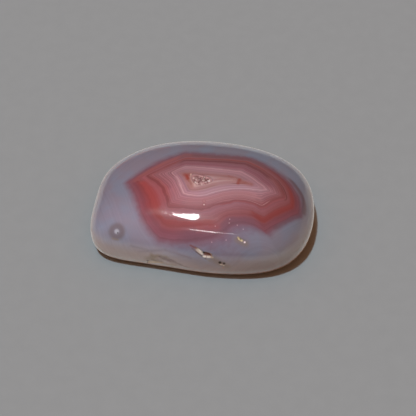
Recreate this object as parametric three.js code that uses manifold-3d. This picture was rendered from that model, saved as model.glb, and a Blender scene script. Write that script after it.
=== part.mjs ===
// A botswana agate cabochon: one polished stone with a flat base, rounded sides and a gently domed top. At the
// middle of its bands is a small three-cornered hollow lined by a crust of quartz crystals, and the front wall has
// a few natural pits. Millimetres, +Z up. The origin is the middle of the flat base, +X runs along the stone's
// length and -Y is its front.
import * as THREE from "three";
import { mergeVertices } from "three/addons/utils/BufferGeometryUtils.js";
import Module from "manifold-3d";

const wasm = await Module();
wasm.setup();

// The stone's box.
const LENGTH = 30;
const WIDTH = 20.9;
const THICKNESS = 8;

// The stone's section. A power of 2 gives an ellipse, and a larger one gives fuller shoulders.
const GIRDLE_HEIGHT = 3;
const DOME_POWER = 2.4;
const UNDERCUT_POWER = 2.4;
const BASE_SHARE = 0.84;

// The stone's plan, as the control points of a smooth closed curve, counter-clockwise from the right-hand end.
const PLAN = [
  [15.6, 0.3],
  [14.1, 5.7],
  [9.0, 9.0],
  [3.2, 10.3],
  [-2.7, 10.8],
  [-9.1, 9.4],
  [-14.0, 5.4],
  [-14.7, 0],
  [-15.8, -7.2],
  [-8.8, -8.3],
  [-2.9, -9.5],
  [1.4, -10.4],
  [9.9, -10.6],
  [14.4, -6.7],
];
const PLAN_STEPS_PER_POINT = 5;
const DOME_LEVELS = 15;
const UNDERCUT_LEVELS = 6;

// The hollow: its mouth in plan, how deep it goes, and how much it narrows on the way down.
const HOLLOW_MOUTH = [
  [-0.9, -0.75],
  [0.1, -0.62],
  [1.25, -0.1],
  [1.0, 0.62],
  [0.1, 0.95],
  [-1.3, 1.3],
  [-1.45, 0.6],
];
const HOLLOW_MOUTH_STRETCH = 1.18;
const HOLLOW_STEPS_PER_POINT = 4;
const HOLLOW_DEPTH = 1.5;
const HOLLOW_FLOOR_SHARE = 0.55;
const CUT_CLEARANCE = 0.6;

// The crust: the gap it keeps to the hollow's wall, how far it stays below the mouth, and its dished inner face.
const CRUST_GAP = 0.04;
const CRUST_DROP = 0.12;
const CRUST_LIP_SHARE = 0.8;
const CRUST_LIP_DEPTH = 0.55;
const CRUST_MIDDLE_DEPTH = 1.1;

// The crystals: one ring of them for each row, from the wall to the middle.
const CRYSTAL_ROWS = [
  { share: 0.84, depth: 0.7, count: 15, lean: 0.75 },
  { share: 0.55, depth: 0.95, count: 9, lean: 0.4 },
  { share: 0.2, depth: 1.1, count: 4, lean: 0.15 },
];
const CRYSTAL_SIDES = 6;
const CRYSTAL_RADIUS = 0.17;
const CRYSTAL_PRISM = 0.3;
const CRYSTAL_POINT = 0.22;
const CRYSTAL_SIZE_VARIATION = 0.3;
const CRYSTAL_LEAN_VARIATION = 0.3;

// The pits of the front wall: the place as x and height, then length, width and depth, and the turn in degrees
// that lowers the right-hand end.
const PITS = [
  { x: -0.45, height: 5.08, length: 1.7, width: 0.5, depth: 0.25, turn: 30 },
  { x: 0.58, height: 4.78, length: 1.3, width: 0.6, depth: 0.35, turn: 12 },
  { x: 2.2, height: 3.7, length: 0.5, width: 0.3, depth: 0.3, turn: 8 },
  { x: 2.74, height: 3.58, length: 0.42, width: 0.26, depth: 0.3, turn: 8 },
  { x: 4.95, height: 6.28, length: 1.0, width: 0.5, depth: 0.2, turn: 24 },
  { x: -7.3, height: 1.35, length: 0.42, width: 0.4, depth: 0.2, turn: 0 },
];
const PIT_DETAIL = 2;

// The small steps of the working: how close two points are one, and the height over which a slope is taken.
const MERGE_DISTANCE = 1e-5;
const SLOPE_STEP = 0.01;

const STONE_LOOK = { color: 0x8c6c77, roughness: 0.12, metalness: 0 };
const CRYSTAL_LOOK = { color: 0xc9a9a6, roughness: 0.2, metalness: 0 };

// The points of a uniform cubic B-spline, which runs smoothly round just inside its control points.
function smoothClosedCurve(control, stepsPerPoint) {
  const count = control.length;
  const steps = Array.from({ length: count * stepsPerPoint }, (_, step) => step);
  return steps.map((step) => {
    const span = Math.floor(step / stepsPerPoint);
    const t = (step % stepsPerPoint) / stepsPerPoint;
    const weights = [
      (1 - t) ** 3 / 6,
      (3 * t ** 3 - 6 * t ** 2 + 4) / 6,
      (-3 * t ** 3 + 3 * t ** 2 + 3 * t + 1) / 6,
      t ** 3 / 6,
    ];
    const point = new THREE.Vector2();
    weights.forEach((weight, k) => {
      const [x, y] = control[(span + k - 1 + count) % count];
      point.add(new THREE.Vector2(x, y).multiplyScalar(weight));
    });
    return point;
  });
}

// The outline moved and stretched so that its box is exactly length by width about the origin.
function fitted(outline, length, width) {
  const box = new THREE.Box2().setFromPoints(outline);
  const middle = box.getCenter(new THREE.Vector2());
  const stretch = new THREE.Vector2(length, width).divide(box.getSize(new THREE.Vector2()));
  return outline.map((point) => point.clone().sub(middle).multiply(stretch));
}

// A level ring: the outline at a share of its size, at a height.
function ringAt(outline, share, height) {
  return outline.map((point) => new THREE.Vector3(point.x * share, point.y * share, height));
}

// A closed body through counter-clockwise rings of one count, from the lowest up, with a point below and above.
function loft(rings, bottom, top) {
  const count = rings[0].length;
  const points = [...rings.flat(), bottom, top];
  const bottomIndex = points.length - 2;
  const topIndex = points.length - 1;
  const lastRing = (rings.length - 1) * count;
  const index = [];
  for (let j = 0; j < count; j++) {
    const next = (j + 1) % count;
    index.push(bottomIndex, next, j);
    index.push(topIndex, lastRing + j, lastRing + next);
    for (let i = 0; i < rings.length - 1; i++) {
      const low = i * count;
      const high = low + count;
      index.push(low + j, low + next, high + next);
      index.push(low + j, high + next, high + j);
    }
  }
  return new THREE.BufferGeometry().setFromPoints(points).setIndex(index);
}

function solidOf(geometry) {
  geometry.deleteAttribute("normal");
  geometry.deleteAttribute("uv");
  const merged = mergeVertices(geometry, MERGE_DISTANCE);
  return new wasm.Manifold(
    new wasm.Mesh({
      numProp: 3,
      vertProperties: merged.attributes.position.array,
      triVerts: new Uint32Array(merged.index.array),
    }),
  );
}

function geometryOf(solid) {
  const mesh = solid.getMesh();
  const geometry = new THREE.BufferGeometry();
  geometry.setAttribute("position", new THREE.BufferAttribute(mesh.vertProperties, 3));
  geometry.setIndex(new THREE.BufferAttribute(mesh.triVerts, 1));
  geometry.computeVertexNormals();
  return geometry;
}

// The share of the plan that the stone fills at a height: a superellipse above the girdle, and one below it that
// stops at the flat base.
function shareAtHeight(height) {
  if (height >= GIRDLE_HEIGHT) {
    const rise = (height - GIRDLE_HEIGHT) / (THICKNESS - GIRDLE_HEIGHT);
    return Math.max(1 - rise ** DOME_POWER, 0) ** (1 / DOME_POWER);
  }
  const fall = (GIRDLE_HEIGHT - height) / GIRDLE_HEIGHT;
  return BASE_SHARE + (1 - BASE_SHARE) * (1 - fall ** UNDERCUT_POWER) ** (1 / UNDERCUT_POWER);
}

function stoneBody(plan) {
  const rings = [];
  for (let level = 0; level < UNDERCUT_LEVELS; level++) {
    const angle = (Math.PI / 2) * (1 - level / UNDERCUT_LEVELS);
    const height = GIRDLE_HEIGHT * (1 - Math.sin(angle) ** (2 / UNDERCUT_POWER));
    rings.push(ringAt(plan, shareAtHeight(height), height));
  }
  for (let level = 0; level < DOME_LEVELS; level++) {
    const angle = (Math.PI / 2) * (level / DOME_LEVELS);
    const share = Math.cos(angle) ** (2 / DOME_POWER);
    const rise = Math.sin(angle) ** (2 / DOME_POWER);
    rings.push(ringAt(plan, share, GIRDLE_HEIGHT + (THICKNESS - GIRDLE_HEIGHT) * rise));
  }
  return solidOf(loft(rings, new THREE.Vector3(0, 0, 0), new THREE.Vector3(0, 0, THICKNESS)));
}

// The middle, the outward normal and the level direction to the right of a spot on the stone's front wall.
function frontSpot(plan, x, height) {
  const share = shareAtHeight(height);
  const front = plan.filter((point) => point.y < 0).sort((a, b) => a.x - b.x);
  const after = front.findIndex((point) => point.x * share >= x);
  const left = front[after - 1];
  const right = front[after];
  const along = (x / share - left.x) / (right.x - left.x);
  const onPlan = left.clone().lerp(right, along);
  const middle = new THREE.Vector3(onPlan.x * share, onPlan.y * share, height);
  const level = new THREE.Vector3(right.x - left.x, right.y - left.y, 0).normalize();
  const growth = (shareAtHeight(height + SLOPE_STEP) - shareAtHeight(height - SLOPE_STEP)) / (2 * SLOPE_STEP);
  const upward = new THREE.Vector3(onPlan.x * growth, onPlan.y * growth, 1);
  const outward = level.clone().cross(upward).normalize();
  return { middle, outward, level };
}

// A pit's cutter: a lump of its length, width and depth, half sunk in the wall.
function pitCutter(plan, pit) {
  const { middle, outward, level } = frontSpot(plan, pit.x, pit.height);
  const lump = new THREE.IcosahedronGeometry(1, PIT_DETAIL);
  lump.scale(pit.length / 2, pit.width / 2, pit.depth);
  lump.rotateZ(THREE.MathUtils.degToRad(-pit.turn));
  const across = outward.clone().cross(level);
  lump.applyMatrix4(new THREE.Matrix4().makeBasis(level, across, outward));
  lump.translate(middle.x, middle.y, middle.z);
  return solidOf(lump);
}

// The hollow's outline, shrunk about its own middle as it goes down and kept off the wall by a gap.
function hollowRing(mouth, depth, gap) {
  const middle = new THREE.Box2().setFromPoints(mouth).getCenter(new THREE.Vector2());
  const taper = 1 - (1 - HOLLOW_FLOOR_SHARE) * (depth / HOLLOW_DEPTH);
  return mouth.map((point) => {
    const arm = point.clone().sub(middle).multiplyScalar(taper);
    arm.setLength(arm.length() - gap);
    return new THREE.Vector3(middle.x + arm.x, middle.y + arm.y, THICKNESS - depth);
  });
}

function centreOf(ring) {
  return ring.reduce((sum, point) => sum.add(point), new THREE.Vector3()).divideScalar(ring.length);
}

function hollowBody(mouth, topDepth, gap) {
  const rings = [hollowRing(mouth, HOLLOW_DEPTH - gap, gap), hollowRing(mouth, topDepth, gap)];
  return solidOf(loft(rings, centreOf(rings[0]), centreOf(rings[1])));
}

// The crust's back: it fills the hollow's floor and lower wall, and its inner face is dished.
function crustDish(mouth) {
  const floor = hollowRing(mouth, HOLLOW_DEPTH - CRUST_GAP, CRUST_GAP);
  const lip = hollowRing(mouth, CRUST_DROP, CRUST_GAP);
  const middle = centreOf(lip);
  const dish = lip.map((point) => point.clone().lerp(middle, 1 - CRUST_LIP_SHARE).setZ(THICKNESS - CRUST_LIP_DEPTH));
  const lowest = middle.clone().setZ(THICKNESS - CRUST_MIDDLE_DEPTH);
  return solidOf(loft([floor, lip, dish], centreOf(floor), lowest));
}

// Repeatable numbers from -1 to 1, one after another, from a linear congruential generator.
function* variations() {
  const modulus = 2 ** 31;
  const multiplier = 1103515245n;
  const increment = 12345n;
  let state = 1n;
  while (true) {
    state = (state * multiplier + increment) % BigInt(modulus);
    yield (2 * Number(state)) / modulus - 1;
  }
}

// A six-sided quartz crystal with a pointed end, standing at root and growing along direction.
function crystal(root, direction, size) {
  const angles = Array.from({ length: CRYSTAL_SIDES }, (_, side) => (2 * Math.PI * side) / CRYSTAL_SIDES);
  const section = angles.map((angle) => new THREE.Vector2(Math.cos(angle), Math.sin(angle)));
  const radius = CRYSTAL_RADIUS * size;
  const shoulder = CRYSTAL_PRISM * size;
  const rings = [ringAt(section, radius, -shoulder), ringAt(section, radius, shoulder)];
  const tip = shoulder + CRYSTAL_POINT * size;
  const body = loft(rings, new THREE.Vector3(0, 0, -shoulder), new THREE.Vector3(0, 0, tip));
  const turn = new THREE.Quaternion().setFromUnitVectors(new THREE.Vector3(0, 0, 1), direction.clone().normalize());
  body.applyQuaternion(turn);
  body.translate(root.x, root.y, root.z);
  return solidOf(body);
}

// The largest body of a solid, with no sealed cavity left between its crystals.
function withoutCavities(solid) {
  return solid.decompose().reduce((largest, body) => (body.volume() > largest.volume() ? body : largest));
}

// The crust: the dish with its crystals, which lean in from the wall and stay inside the hollow.
function crustBody(mouth) {
  const middle = centreOf(hollowRing(mouth, 0, 0));
  const draws = variations();
  const draw = () => draws.next().value;
  let crust = crustDish(mouth);
  for (const { share, depth, count, lean } of CRYSTAL_ROWS) {
    const ring = hollowRing(mouth, depth, 0);
    for (let k = 0; k < count; k++) {
      const wallPoint = ring[Math.floor((k * ring.length) / count)];
      const root = wallPoint.clone().lerp(middle, 1 - share).setZ(THICKNESS - depth);
      const inward = middle.clone().sub(root).setZ(0).normalize().multiplyScalar(lean);
      const sway = new THREE.Vector3(draw() * CRYSTAL_LEAN_VARIATION, draw() * CRYSTAL_LEAN_VARIATION, 1);
      crust = crust.add(crystal(root, inward.add(sway), 1 + CRYSTAL_SIZE_VARIATION * draw()));
    }
  }
  return withoutCavities(crust.intersect(hollowBody(mouth, CRUST_DROP, CRUST_GAP)));
}

function namedMesh(name, solid, look) {
  const mesh = new THREE.Mesh(geometryOf(solid), new THREE.MeshStandardMaterial(look));
  mesh.name = name;
  return mesh;
}

const plan = fitted(smoothClosedCurve(PLAN, PLAN_STEPS_PER_POINT), LENGTH, WIDTH);
const mouth = smoothClosedCurve(HOLLOW_MOUTH, HOLLOW_STEPS_PER_POINT);
mouth.forEach((point) => point.multiplyScalar(HOLLOW_MOUTH_STRETCH));

let stone = stoneBody(plan).subtract(hollowBody(mouth, -CUT_CLEARANCE, 0));
for (const pit of PITS) {
  stone = stone.subtract(pitCutter(plan, pit));
}

const group = new THREE.Group();
group.name = "botswana_agate_cabochon";
group.add(namedMesh("agate_stone", stone, STONE_LOOK));
group.add(namedMesh("vug_crystals", crustBody(mouth), CRYSTAL_LOOK));

export default group;
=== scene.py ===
"""A botswana agate cabochon: one polished stone, its red and pink bands folded round a small crystal hollow.

Shapes and patterns are worked out in millimetres, as a stone cutter measures them. Meshes, lamps and the
camera are turned into metres as they are made, and materials turn Object coordinates into millimetres as
they read them. The origin is the middle of the stone's flat base, +X runs along its length and -Y is its
front.
"""

import itertools
import logging
import math
from dataclasses import dataclass
from enum import Enum
from typing import Union

import bpy
import numpy as np
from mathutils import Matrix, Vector


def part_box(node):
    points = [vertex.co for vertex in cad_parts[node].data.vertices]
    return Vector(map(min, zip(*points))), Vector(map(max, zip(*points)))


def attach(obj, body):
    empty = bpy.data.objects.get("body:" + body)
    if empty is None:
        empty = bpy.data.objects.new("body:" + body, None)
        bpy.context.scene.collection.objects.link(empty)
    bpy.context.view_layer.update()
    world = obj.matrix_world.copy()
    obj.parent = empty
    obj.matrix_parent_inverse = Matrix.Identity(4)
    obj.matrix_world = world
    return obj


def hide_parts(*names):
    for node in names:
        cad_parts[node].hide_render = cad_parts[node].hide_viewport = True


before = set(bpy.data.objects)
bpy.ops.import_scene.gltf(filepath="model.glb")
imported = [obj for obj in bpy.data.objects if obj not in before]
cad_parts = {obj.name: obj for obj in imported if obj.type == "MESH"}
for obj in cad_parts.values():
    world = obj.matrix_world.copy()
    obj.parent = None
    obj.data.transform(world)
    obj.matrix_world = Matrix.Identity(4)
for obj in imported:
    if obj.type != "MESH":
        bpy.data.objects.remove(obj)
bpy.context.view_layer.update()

log = logging.getLogger("agate")

MM = 0.001
MILLIMETRES_PER_METRE = 1000.0

Pair = tuple[float, float]
Vec3 = tuple[float, float, float]
Colour = tuple[int, int, int]
Stops = tuple[tuple[float, Colour], ...]


# Shapes worked out with numpy

LATTICE = 32


def lattice_noise(points: np.ndarray, size: float, seed: int) -> np.ndarray:
    """Smooth noise: seeded random numbers on a cubic lattice, blended between corners by 3t^2 - 2t^3.

    Args:
        points: Places in millimetres, with x, y and z on the last axis.
        size: The distance between lattice corners, in millimetres.
        seed: The seed of the random numbers.

    Returns:
        One number from -1 to 1 for each point.
    """
    table = np.random.default_rng(seed).uniform(-1.0, 1.0, (LATTICE,) * 3)
    place = points / size
    cell = np.floor(place).astype(int)
    share = place - cell
    share = share * share * (3 - 2 * share)
    total = np.zeros(points.shape[:-1])
    for corner in itertools.product((0, 1), repeat=3):
        weight = np.prod(np.where(corner, share, 1 - share), axis=-1)
        index = np.mod(cell + corner, LATTICE)
        total += weight * table[index[..., 0], index[..., 1], index[..., 2]]
    return total


def smooth_step(value: np.ndarray, low: float, high: float) -> np.ndarray:
    """3t^2 - 2t^3, where t runs from 0 at low to 1 at high and stays there beyond."""
    share = np.clip((value - low) / (high - low), 0.0, 1.0)
    return share * share * (3 - 2 * share)


def closed_spline(control: np.ndarray, steps: int) -> np.ndarray:
    """Points of a uniform cubic B-spline, which runs smoothly round just inside its control points.

    The point at t on a span is four neighbouring control points weighted by (1-t)^3, 3t^3-6t^2+4,
    -3t^3+3t^2+3t+1 and t^3, all over 6.

    Args:
        control: The control points, one x and y a row, counter-clockwise.
        steps: How many points each span gives.

    Returns:
        The points in order, one x and y a row.
    """
    t = np.arange(steps) / steps
    weights = np.stack([(1 - t) ** 3, 3 * t**3 - 6 * t**2 + 4, -3 * t**3 + 3 * t**2 + 3 * t + 1, t**3]) / 6
    neighbours = np.stack([np.roll(control, shift, axis=0) for shift in (1, 0, -1, -2)])
    return np.einsum("ks,knc->nsc", weights, neighbours).reshape(-1, 2)


def polar_value(
    outline: np.ndarray, middle: np.ndarray, angles: np.ndarray, values: np.ndarray
) -> np.ndarray:
    """A value of an outline's fine points in each direction, straight from one point to the next.

    Args:
        outline: Points of a closed outline that each direction meets once.
        middle: The point inside it.
        angles: Directions in radians.
        values: One number for each point of the outline.

    Returns:
        One number for each angle.
    """
    arms = outline - middle
    return np.interp(angles, np.arctan2(arms[:, 1], arms[:, 0]), values, period=2 * math.pi)


def polar_radius(outline: np.ndarray, middle: np.ndarray, angles: np.ndarray) -> np.ndarray:
    """How far a closed outline lies from a middle inside it, in each direction in radians."""
    return polar_value(outline, middle, angles, np.linalg.norm(outline - middle, axis=1))


def graded(stations: np.ndarray, spacing: np.ndarray, count: int) -> np.ndarray:
    """Places along a path that lie as close together as asked, up to one common factor.

    The number of steps up to a station is the running sum of each stretch's length over its spacing, and
    the places are where that number takes even values.

    Args:
        stations: Distances along the path, rising.
        spacing: The spacing wanted at each station.
        count: How many places to give, the two ends among them.

    Returns:
        The places, as distances along the path.
    """
    stretches = np.diff(stations) / (0.5 * (spacing[1:] + spacing[:-1]))
    steps = np.concatenate([[0.0], np.cumsum(stretches)])
    return np.interp(np.linspace(0.0, steps[-1], count), steps, stations)


def unit(vectors: np.ndarray) -> np.ndarray:
    """The vectors on the last axis at length 1."""
    return vectors / np.linalg.norm(vectors, axis=-1, keepdims=True)


def raised(spots: np.ndarray, height: Union[float, np.ndarray]) -> np.ndarray:
    """Places in plan as points at one height, or each at its own."""
    return np.column_stack([spots, np.broadcast_to(height, len(spots))])


@dataclass(frozen=True)
class Plan:
    """The stone's outline seen from above: a spline fitted to the stone's length and width."""

    length: float
    width: float
    steps_per_span: int = 512
    control: tuple[Pair, ...] = (
        (15.6, 0.3), (14.1, 5.7), (9.0, 9.0), (3.2, 10.3), (-2.7, 10.8),
        (-9.1, 9.4), (-14.0, 5.4), (-14.7, 0.0), (-15.8, -7.2), (-8.8, -8.3),
        (-2.9, -9.5), (1.4, -10.4), (9.9, -10.6), (14.4, -6.7),
    )

    def outline(self) -> np.ndarray:
        """The spline's fine points, moved and stretched so that their box is length by width.

        Returns:
            One x and y a row.
        """
        points = closed_spline(np.array(self.control), self.steps_per_span)
        low = points.min(axis=0)
        high = points.max(axis=0)
        return (points - (low + high) / 2) * np.array([self.length, self.width]) / (high - low)

    def radius(self, angles: np.ndarray) -> np.ndarray:
        """The outline's distance from the origin in each direction."""
        return polar_radius(self.outline(), np.zeros(2), angles)


@dataclass(frozen=True)
class Section:
    """The stone's section: the share of the plan that it fills at each height.

    Both halves are superellipses. A power of 2 gives an ellipse, and a larger one gives fuller shoulders.
    """

    thickness: float
    girdle_height: float = 3.0
    dome_power: float = 2.4
    undercut_power: float = 2.4
    base_share: float = 0.84

    def dome_height(self, share: np.ndarray) -> np.ndarray:
        """The height at a share of the plan: girdle + dome * (1 - share^power)^(1/power).

        Args:
            share: The share.

        Returns:
            The height in millimetres.
        """
        fall = np.clip(share, 0.0, 1.0) ** self.dome_power
        dome = self.thickness - self.girdle_height
        return self.girdle_height + dome * (1 - fall) ** (1 / self.dome_power)

    def dome_share(self, height: float) -> float:
        """The share of the plan at a height above the girdle, which turns dome_height round."""
        rise = (height - self.girdle_height) / (self.thickness - self.girdle_height)
        return (1 - rise**self.dome_power) ** (1 / self.dome_power)

    def undercut_share(self, height: np.ndarray) -> np.ndarray:
        """The share of the plan at a height under the girdle, from base_share up to 1."""
        fall = ((self.girdle_height - height) / self.girdle_height) ** self.undercut_power
        return self.base_share + (1 - self.base_share) * (1 - fall) ** (1 / self.undercut_power)

    def share_at(self, height: float) -> float:
        """The share of the plan at any height."""
        if height > self.girdle_height:
            return self.dome_share(height)
        return float(self.undercut_share(np.array(height)))

    def outside(self, top_share: float, steps: int) -> np.ndarray:
        """The section's fine points from a share of the plan over the girdle to the base's middle.

        The dome takes share = cos(a)^(2/power) and rise = sin(a)^(2/power), and so does the undercut.

        Args:
            top_share: The share where the points begin.
            steps: How many points each half has.

        Returns:
            One share of the plan and one height a row.
        """
        angle = np.linspace(math.acos(top_share ** (self.dome_power / 2)), 0.0, steps)
        dome_share = np.cos(angle) ** (2 / self.dome_power)
        dome = np.stack([dome_share, self.dome_height(dome_share)], axis=1)
        below = np.linspace(0.0, math.pi / 2, steps)[1:]
        under_height = self.girdle_height * (1 - np.sin(below) ** (2 / self.undercut_power))
        under = np.stack([self.undercut_share(under_height), under_height], axis=1)
        base_share = np.linspace(self.base_share, 0.0, steps)[1:]
        base = np.stack([base_share, np.zeros(steps - 1)], axis=1)
        return np.concatenate([dome, under, base])


@dataclass(frozen=True)
class Hollow:
    """The hollow at the middle of the bands: a three-cornered mouth whose wall narrows on the way down."""

    stretch: float = 1.18
    depth: float = 1.5
    floor_share: float = 0.55
    lip_radius: float = 0.05
    steps_per_span: int = 64
    control: tuple[Pair, ...] = (
        (-0.9, -0.75), (0.1, -0.62), (1.25, -0.1), (1.0, 0.62), (0.1, 0.95),
        (-1.3, 1.3), (-1.45, 0.6),
    )

    def mouth(self) -> np.ndarray:
        """The mouth's fine points."""
        return closed_spline(np.array(self.control), self.steps_per_span) * self.stretch

    def middle(self) -> np.ndarray:
        """The middle of the mouth's box."""
        mouth = self.mouth()
        return (mouth.min(axis=0) + mouth.max(axis=0)) / 2

    def ring(self, angles: np.ndarray, depth: float, growth: float = 0.0) -> np.ndarray:
        """The wall's outline at a depth, grown outwards by a distance.

        Args:
            angles: Directions from the mouth's middle, in radians.
            depth: How far the ring lies below the mouth.
            growth: How far each point is moved away from the middle.

        Returns:
            One x and y for each angle.
        """
        taper = 1 - (1 - self.floor_share) * depth / self.depth
        reach = polar_radius(self.mouth(), self.middle(), angles) * taper + growth
        return self.middle() + np.stack([reach * np.cos(angles), reach * np.sin(angles)], axis=1)


@dataclass(frozen=True)
class Pit:
    """A natural pit in the front wall: a bowl with an uneven edge, longer than it is high.

    Its depth at a point is depth * (1 - r^steepness), where r is the point's distance from the middle as a
    share of the uneven edge, and zero beyond the edge. It leaves alone what lies more than near_lengths of
    its lengths in front of or behind its middle.
    """

    x: float
    height: float
    length: float
    width: float
    depth: float
    turn: float
    unevenness: float = 0.25
    uneven_size: float = 0.35
    steepness: float = 3.0
    near_lengths: float = 2.0
    seed: int = 11

    def depth_at(self, points: np.ndarray, middle: np.ndarray, outward: np.ndarray) -> np.ndarray:
        """How far the pit sinks each point.

        Args:
            points: Surface points, with x, y and z on the last axis.
            middle: The pit's middle on the surface.
            outward: The surface's outward direction there.

        Returns:
            One depth for each point, in millimetres.
        """
        level = unit(np.cross([0.0, 0.0, 1.0], outward))
        upward = np.cross(outward, level)
        turn = math.radians(self.turn)
        along = level * math.cos(turn) - upward * math.sin(turn)
        across = np.cross(outward, along)
        offset = points - middle
        share = np.hypot(offset @ along / (self.length / 2), offset @ across / (self.width / 2))
        share = share * (1 + self.unevenness * lattice_noise(points, self.uneven_size, self.seed))
        near = np.abs(offset @ outward) < self.near_lengths * self.length
        return np.where(near, self.depth * np.clip(1 - share**self.steepness, 0.0, 1.0), 0.0)


def mesh_piece(name: str, points: np.ndarray, faces: list, smooth: bool) -> bpy.types.Object:
    """A mesh object at the origin from points in millimetres.

    Args:
        name: The piece's name.
        points: One x, y and z a row.
        faces: Lists or rows of point numbers, counter-clockwise seen from outside.
        smooth: Whether the faces are shaded as one curved surface.

    Returns:
        The new object, linked into the scene.
    """
    mesh = bpy.data.meshes.new(name)
    mesh.from_pydata((points * MM).tolist(), [], faces)
    mesh.polygons.foreach_set("use_smooth", np.full(len(mesh.polygons), smooth))
    mesh.update()
    piece = bpy.data.objects.new(name, mesh)
    bpy.context.scene.collection.objects.link(piece)
    return piece


def grid_faces(row_count: int, columns: int) -> list:
    """Four-sided faces between closed rows of points, and a fan of triangles at each closing point.

    The rows run from the first closing point to the second, which come after all rows, in that order.

    Args:
        row_count: How many rows there are.
        columns: How many points a row has, counter-clockwise seen from above where the rows widen.

    Returns:
        The faces as point numbers.
    """
    column = np.arange(columns)
    following = (column + 1) % columns
    row = np.arange(row_count - 1)[:, None] * columns
    next_row = row + columns
    quads = np.stack([row + column, next_row + column, next_row + following, row + following], axis=2)
    first_end = row_count * columns
    last = first_end - columns
    first_fan = np.stack([np.full(columns, first_end), column, following], axis=1)
    last_fan = np.stack([np.full(columns, first_end + 1), last + following, last + column], axis=1)
    return quads.reshape(-1, 4).tolist() + first_fan.tolist() + last_fan.tolist()


def store_attribute(piece: bpy.types.Object, name: str, values: np.ndarray) -> None:
    """Lets a piece's mesh carry a value at each point, for its material to read.

    Args:
        piece: The piece.
        name: The value's name.
        values: One number for each point, or one row of three.
    """
    kind, field_name = ("FLOAT", "value") if values.ndim == 1 else ("FLOAT_VECTOR", "vector")
    layer = piece.data.attributes.new(name, kind, "POINT")
    layer.data.foreach_set(field_name, values.astype(np.float32).ravel())


def mesh_points(piece: bpy.types.Object) -> np.ndarray:
    """The points of a piece's mesh in millimetres.

    Args:
        piece: The piece.

    Returns:
        One x, y and z a row.
    """
    points = np.empty(len(piece.data.vertices) * 3, np.float32)
    piece.data.vertices.foreach_get("co", points)
    return points.reshape(-1, 3).astype(float) / MM


# Shader wiring


class Signal:
    """A value, vector or colour on its way through a shader. Arithmetic on it adds the node that does it."""

    def __init__(self, tree: bpy.types.NodeTree, socket: bpy.types.NodeSocket) -> None:
        """Wraps an output socket of a tree."""
        self.tree = tree
        self.socket = socket

    def math(self, operation: str, *others: "Operand") -> "Signal":
        """A Math node on this value and others."""
        inputs = dict(enumerate((self, *others)))
        return add_node(self.tree, "ShaderNodeMath", inputs, {"operation": operation})

    def vector(self, operation: str, *others: "Operand", output: str = "Vector") -> "Signal":
        """A Vector Math node on this vector and others."""
        inputs = dict(enumerate((self, *others)))
        return add_node(self.tree, "ShaderNodeVectorMath", inputs, {"operation": operation}, output)

    def __add__(self, other: "Operand") -> "Signal":
        """The sum."""
        return self.math("ADD", other)

    def __sub__(self, other: "Operand") -> "Signal":
        """The difference."""
        return self.math("SUBTRACT", other)

    def __rsub__(self, other: float) -> "Signal":
        """A number less this value."""
        return add_node(self.tree, "ShaderNodeMath", {0: other, 1: self}, {"operation": "SUBTRACT"})

    def __mul__(self, other: "Operand") -> "Signal":
        """The product."""
        return self.math("MULTIPLY", other)

    def __truediv__(self, other: "Operand") -> "Signal":
        """The quotient."""
        return self.math("DIVIDE", other)

    def step(self, low: float, high: float) -> "Signal":
        """A smooth step from 0 at low to 1 at high. With low above high it falls instead."""
        inputs = {"Value": self, "From Min": low, "From Max": high}
        return add_node(self.tree, "ShaderNodeMapRange", inputs, {"interpolation_type": "SMOOTHSTEP"})

    def spread(self, low: float, high: float, to_low: float, to_high: float) -> "Signal":
        """This value's range from low to high, stretched onto another."""
        inputs = {"Value": self, "From Min": low, "From Max": high, "To Min": to_low, "To Max": to_high}
        return add_node(self.tree, "ShaderNodeMapRange", inputs)

    def axis(self, name: str) -> "Signal":
        """One axis of this vector, by its letter."""
        return add_node(self.tree, "ShaderNodeSeparateXYZ", {0: self}, output=name)


Operand = Union[Signal, float, Vec3]


def feed(tree: bpy.types.NodeTree, node: bpy.types.Node, inputs: dict) -> None:
    """Gives each input of a node, by name or number, its signal or constant."""
    for key, value in inputs.items():
        if isinstance(value, Signal):
            tree.links.new(value.socket, node.inputs[key])
        else:
            node.inputs[key].default_value = value


def add_node(
    tree: bpy.types.NodeTree,
    kind: str,
    inputs: dict,
    settings: Union[dict, None] = None,
    output: Union[str, int] = 0,
) -> Signal:
    """Adds a node, sets it and feeds it.

    Args:
        tree: The shader tree.
        kind: The node's type.
        inputs: Each input's name or number, with the signal or constant that it takes.
        settings: The node's own properties.
        output: The output to go on with, by name or number.

    Returns:
        That output.
    """
    node = tree.nodes.new(kind)
    for name, value in (settings or {}).items():
        setattr(node, name, value)
    feed(tree, node, inputs)
    return Signal(tree, node.outputs[output])


def linear(colour: Colour) -> tuple[float, float, float, float]:
    """A display colour from 0 to 255 in the linear values that shaders work in, by the sRGB curve."""
    shares = [part / 255 for part in colour]
    return (*[s / 12.92 if s <= 0.04045 else ((s + 0.055) / 1.055) ** 2.4 for s in shares], 1.0)


# The sockets of a Mix node that mixes colours, by number
MIX_SHARE = 0
MIX_FIRST = 6
MIX_SECOND = 7
MIX_RESULT = 2


def mixed(share: Operand, first: Signal, second: Union[Signal, tuple]) -> Signal:
    """A colour part of the way from a first to a second."""
    inputs = {MIX_SHARE: share, MIX_FIRST: first, MIX_SECOND: second}
    return add_node(first.tree, "ShaderNodeMix", inputs, {"data_type": "RGBA"}, MIX_RESULT)


NOISE_MIDDLE = 0.5
# Noise seldom leaves the first range, and most of it lies in the second
NOISE_RANGE = (0.25, 0.75)
NOISE_BULK = (0.3, 0.7)


def noise(place: Signal, size: float, detail: float = 2.0, output: str = "Fac") -> Signal:
    """Noise about 0.5 on a vector in millimetres, with lumps of about that size."""
    inputs = {"Vector": place, "Scale": 1 / size, "Detail": detail}
    return add_node(place.tree, "ShaderNodeTexNoise", inputs, output=output)


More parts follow.
